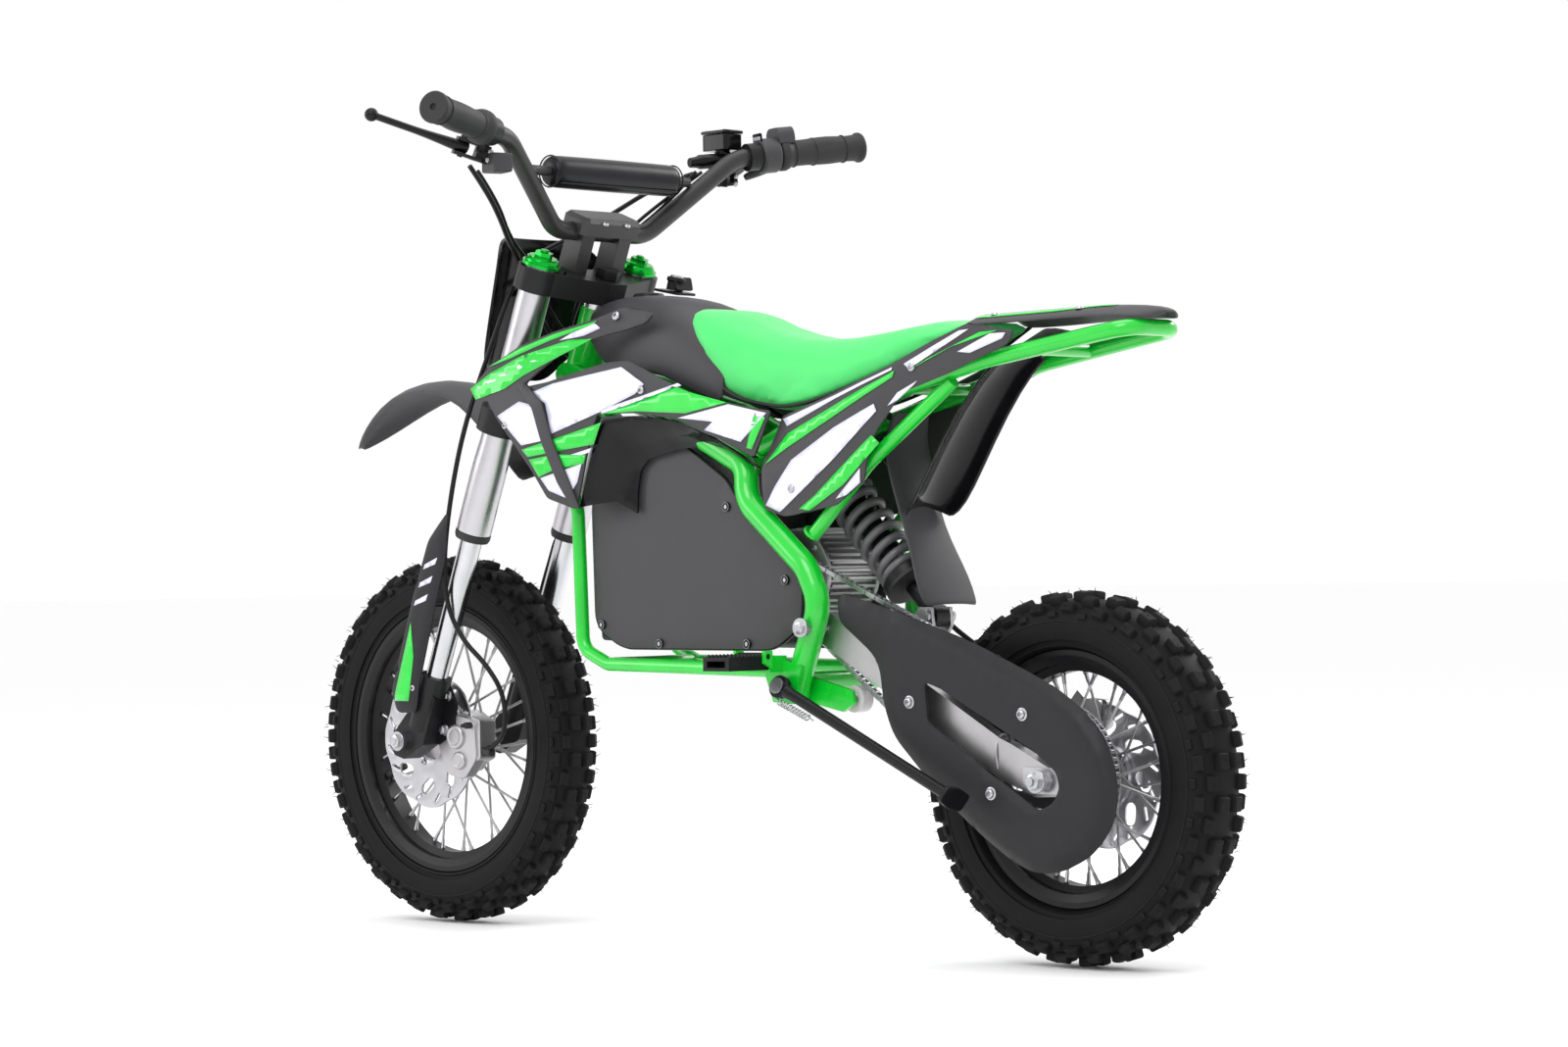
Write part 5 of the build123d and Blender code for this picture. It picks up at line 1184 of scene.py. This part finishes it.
def motor():
    """Finned motor housing with end plates, and its mounting bolts."""
    fins = Shape()
    outline = []
    for k in range(36):
        for share, r in ((0.0, 45), (0.18, 52), (0.5, 52), (0.68, 45)):
            a = 2 * pi * (k + share) / 36
            outline.append((r * cos(a), r * sin(a)))
    fins.prism(at(MOTOR_X, -50, MOTOR_Z), (0, 0, 1), (1, 0, 0), outline, 74)
    for y, r in ((-58, 50), (24, 51)):
        fins.turned(at(MOTOR_X, y, MOTOR_Z), (0, 1, 0), ((r - 6, 0), (r, 2), (r, 7), (r - 2, 8)), 48)
    fins.turned(at(MOTOR_X, 30, MOTOR_Z), (0, 1, 0), ((30, 0), (30, 5), (20, 6)), 36)
    piece("motor_housing", fins, "raw_aluminium", "chassis", ("motor",), bevel=0.5)
    bolts = Shape()
    for k in range(6):
        a = 2 * pi * k / 6 + 0.3
        bolts.screw(at(MOTOR_X + 42 * cos(a), 32, MOTOR_Z + 42 * sin(a)), (0, 1, 0), 3.6, 2.4)
        bolts.screw(at(MOTOR_X + 42 * cos(a), -58, MOTOR_Z + 42 * sin(a)), (0, -1, 0), 3.6, 2.4)
    piece("motor_screws", bolts, "steel", "chassis")


def spring():
    """Coil spring on the shock, with its adjuster collars and bumper."""
    low, high, wire, coils, mean = 62.0, 186.0, 5.0, 6.0, 24.5
    axis = (on_shock(100) - on_shock(0)).normalized()
    across = axis.orthogonal().normalized()
    up = axis.cross(across)
    points = []
    total = coils + 1.4
    for k in range(int(total * 28) + 1):
        turns = k / 28
        climb = interp(((0, 0), (0.7, 0.035), (total - 0.7, 0.965), (total, 1)), turns)
        h = low + wire + climb * (high - low - 2 * wire)
        a = 2 * pi * turns
        points.append(on_shock(h) + (across * cos(a) + up * sin(a)) * mean * MM)
    shape = Shape()
    shape.tube(points, wire, 14)
    obj = piece("shock_coil", shape, "spring_grey", "shock_body", ("shock_spring",))
    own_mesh(obj)
    collars = Shape()
    nut = ((16, 10), (31, 10), (31, 4), (29, 4), (29, 1), (31, 1), (31, -1), (16, -1))
    collars.turned(on_shock(187), axis, nut, 36, closed=True)
    for k in range(5):
        thread = ((13.2, 0), (14.0, 0), (14.8, 1), (14.0, 2), (13.2, 2))
        collars.turned(on_shock(150 + k * 6), axis, thread, 32, closed=True)
    piece("shock_adjuster", collars, "black_metal", "shock_body", bevel=0.4)
    bumper = Shape()
    bumper.turned(on_shock(52), axis, ((28, -6), (31.4, -4), (31.4, 0), (20, 1)), 36)
    piece("shock_bumper", bumper, "grip_rubber", "shock_rod")


def stand_and_pegs():
    """Kickstand with its return spring, serrated footpegs, and roller bolt."""
    pivot, foot = at(*STAND_PIVOT), at(*STAND_FOOT)
    axis = Vector(STAND_AXIS).normalized()
    run = (foot - pivot - axis * 4 * MM).normalized()
    leg = Shape()
    start = pivot + axis * 4 * MM + run * 10.5 * MM
    leg.tube([start, start.lerp(foot, 0.04), start.lerp(foot, 0.9), foot],
             lambda t: 8.0 - 1.4 * smooth(t * 3), 20)
    leg.turned(pivot, axis, ((5.4, 0), (13, 0), (13, 8), (5.4, 8)), 28, closed=True)
    side = axis.cross(run)
    pad = rounded(((-10, -20), (10, -22), (13, 0), (9, 20), (-8, 22), (-12, 4)), 5)
    leg.prism(foot + run * 1 * MM, side, axis, pad, -5)
    piece("kickstand_leg", leg, "black_metal", "kickstand", ("kickstand",), bevel=0.8)
    coil = Shape()
    hook, end = pivot + run * 62 * MM - side * 12 * MM, pivot - run * 2 * MM - side * 15 * MM
    points = []
    u = (end - hook).normalized()
    v = u.orthogonal().normalized()
    w = u.cross(v)
    for k in range(14 * 10 + 1):
        a = 2 * pi * k / 14
        points.append(hook.lerp(end, 0.12 + 0.76 * k / 140) + (v * cos(a) + w * sin(a)) * 3.4 * MM)
    coil.tube([hook] + points + [end], 0.9, 6)
    piece("kickstand_spring", coil, "steel", "kickstand")
    for side_sign, body in ((1, "peg_left"), (-1, "peg_right")):
        teeth = Shape()
        for x in (-17, 17):
            for k in range(9):
                spot = at(PEG_X + x, side_sign * (128 + k * 6), PEG_Z + 7.3)
                teeth.turned(spot, (0, 0, 1), ((3.0, 0), (2.6, 2), (0.8, 3.6)), 4)
        for y in (140, 160):
            teeth.prism(at(PEG_X - 17, side_sign * y - 2, PEG_Z - 5), (1, 0, 0), (0, 1, 0),
                        ((0, 0), (34, 0), (34, 4), (0, 4)), 10)
        piece(f"{body}_teeth", teeth, "black_metal", body, bevel=0.3)
    bolt = Shape()
    bolt.bolt(at(284, 54.2, 285), (0, 1, 0), 10, 5, 8)
    bolt.bolt(at(316, 105, 365), (0, 1, 0), 13, 3, 11)
    piece("frame_bolts", bolt, "steel", "chassis")


def welds():
    """Weld beads where the frame tubes meet."""
    beads = Shape()

    def bead(centre, normal, radius):
        rng = random.Random(int(radius * 10) + int(centre.x * 1000))
        ring = [centre + p * (1 + rng.uniform(-0.02, 0.02)) for p in ring_points(normal, radius, 40)]
        beads.tube(ring, 2.0, 6, closed=True)

    for side in (1, -1):
        bead(at(412, side * 66, 566), (0.9, 0, -0.4), 9.6)
        bead(at(334, side * 65, 470), (0.7, 0, -0.6), 8.8)
        bead(at(354, side * 82, 316), (1, 0, 0), 9.0)
        bead(at(757, side * 24, 664), (1, -side * 0.4, 0.2), 14.6)
    piece("frame_welds", beads, "frame_green", "chassis")


# ------------------------------------------------------------------ hoses
FRONT_HOSE = ((752, -176, 917), (775, -134, 902), (795, -88, 872), (808, -38, 842), (813, 14, 822),
              (814, 56, 798), (812, 84, 756), (824, 97, 704), (850, 101, 650), (875, 101, 596),
              (893, 101, 540), (907, 100, 484), (914, 99, 432), (908, 98, 386), (886, 93, 348),
              (856, 86, 322), (834, 78, 288), (838, 70, 250), (860, 60, 226), (890.5, 57, 214))
REAR_HOSE = ((728, 216, 902), (730, 186, 872), (748, 150, 844), (774, 114, 822), (794, 80, 804),
             (801, 52, 764), (806, 22, 716), (798, -16, 682), (776, -44, 672), (748, -40, 690),
             (716, -24, 704), (670, -20, 702), (612, -30, 684), (556, -40, 656), (500, -46, 614),
             (444, -48, 588), (384, -46, 578), (326, -44, 562), (290, -43, 520), (272, -43, 468),
             (262, -44, 414), (244, -52, 372), (204, -60, 343), (150, -60, 314), (104, -59, 292),
             (78, -50, 282), (61, -45, 280))


def hoses():
    """Brake hoses along their CAD routes, the front one with crimped ends, and the bar wires."""
    front = Shape()
    route = [at(*p) for p in FRONT_HOSE]
    front.tube(b_spline(route), 3.0, 12)
    for a, b in ((route[0], route[1]), (route[-1], route[-2])):
        front.turned(a, b - a, ((4.4, 0), (4.4, 12), (3.4, 13)), 14)
    piece_front = piece("front_hose", front, "hose", "steering", ("front_brake_hose",), ride=False)
    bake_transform(piece_front)
    route = [at(*p) for p in REAR_HOSE]
    path = b_spline(route)
    cut = next(i for i, p in enumerate(path) if p.x < at(600, 0, 0).x)
    for name, points, bodies, start, end in (
            ("rear_hose_front", path[:cut + 1], ("chassis", "steering"), at(700, -24, 702),
             at(806, 22, 716)),
            ("rear_hose_back", path[cut:], ("chassis", "swingarm"), at(300, -43, 530), at(230, -55, 362))):
        shape = Shape()
        shape.tube(points, 3.0, 12)
        obj = piece(name, shape, "hose", "chassis", ("rear_brake_hose",), ride=False)
        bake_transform(obj)
    wires = Shape()
    for k, (y0, drop) in enumerate(((-150, 0), (-140, -8))):
        wires.tube(b_spline([at(712, y0, 916), at(742, -118, 884 + drop), at(768, -84, 850 + drop),
                             at(786, -50, 812 + drop), at(792, -20 + 6 * k, 770), at(790, 0, 726)]), 2.2, 8)
    wires.tube(b_spline([at(736, 196, 898), at(752, 150, 866), at(776, 110, 826), at(790, 60, 796),
                         at(796, 30, 742), at(790, 6, 716)]), 2.2, 8)
    piece("bar_wires", wires, "hose", "steering")


# ------------------------------------------------------------------ stage
def camera():
    """Camera at the photograph's viewing angle."""
    yaw, pitch, roll = radians(43.6331), radians(-0.6295), radians(-0.8046)
    ahead = Vector((sin(yaw) * cos(pitch), -cos(yaw) * cos(pitch), -sin(pitch)))
    right = ahead.cross(Vector((0, 0, 1))).normalized()
    up = right.cross(ahead)
    right, up = right * cos(roll) + up * sin(roll), up * cos(roll) - right * sin(roll)
    data = bpy.data.cameras.new("camera")
    data.lens, data.sensor_width = 94.07, 36.0
    obj = bpy.data.objects.new("camera", data)
    turn = Matrix((right, up, -ahead)).transposed().to_4x4()
    obj.matrix_world = Matrix.Translation((-3.31543, 3.40016, 0.43091)) @ turn
    bpy.context.scene.collection.objects.link(obj)
    bpy.context.scene.camera = obj


def studio():
    """Pale floor, white surroundings and soft lights."""
    floor = Shape()
    floor.skin([[Vector((x, y, -0.0005)) for y in (-60, 60)] for x in (-60, 60)], around=False)
    mesh = bpy.data.meshes.new("floor")
    mesh.from_pydata(floor.verts, [], floor.faces)
    obj = bpy.data.objects.new("floor", mesh)
    bpy.context.scene.collection.objects.link(obj)
    pale = bpy.data.materials.new("floor_pale")
    pale.use_nodes = True
    pale.node_tree.nodes["Principled BSDF"].inputs["Base Color"].default_value = (0.98, 0.98, 0.98, 1)
    pale.node_tree.nodes["Principled BSDF"].inputs["Roughness"].default_value = 0.9
    mesh.materials.append(pale)
    world = bpy.data.worlds.new("studio")
    world.use_nodes = True
    world.node_tree.nodes["Background"].inputs["Color"].default_value = (1, 1, 1, 1)
    world.node_tree.nodes["Background"].inputs["Strength"].default_value = 1.0
    bpy.context.scene.world = world
    bpy.context.scene.view_settings.view_transform = "Standard"
    for name, place_at, aim, size, power in (
            ("key", (-1.2, 2.6, 3.0), (0, 0, 0.4), 2.2, 50),
            ("fill", (2.6, 2.4, 1.6), (0.2, 0, 0.5), 1.8, 24),
            ("rim", (-0.6, -2.6, 2.4), (0, 0, 0.5), 1.6, 34), ("top", (0, 0, 3.4), (0, 0, 0.5), 2.4, 30)):
        light = bpy.data.lights.new(name, "AREA")
        light.shape, light.size, light.energy = "DISK", size, power
        lamp = bpy.data.objects.new(name, light)
        lamp.location = place_at
        lamp.rotation_euler = (Vector(aim) - Vector(place_at)).to_track_quat("-Z", "Y").to_euler()
        bpy.context.scene.collection.objects.link(lamp)


dress_cad_nodes()
tyre("rear", 0.0, REAR_R, REAR_HALF_W, REAR_BEAD, 27, "rear_wheel")
tyre("front", WHEELBASE, FRONT_R, FRONT_HALF_W, FRONT_BEAD, 31, "front_wheel")
wheel_trim("rear", 0.0, REAR_R, REAR_BEAD, "rear_wheel")
wheel_trim("front", WHEELBASE, FRONT_R, FRONT_BEAD, "front_wheel")
brake_disc("rear", 0.0, REAR_R, 78.0, -38.0, "rear_wheel")
brake_disc("front", WHEELBASE, FRONT_R, 84.0, 46.5, "front_wheel")
for hand, hand_name in ((1, "left"), (-1, "right")):
    body_panels(hand, hand_name)
tank()
seat()
guards_and_flaps()
fork()
grips()
levers()
throttle()
bar_fittings()
fork_lower()
chain_guard()
swingarm_fittings()
chain_links()
motor()
spring()
stand_and_pegs()
welds()
hoses()
camera()
studio()
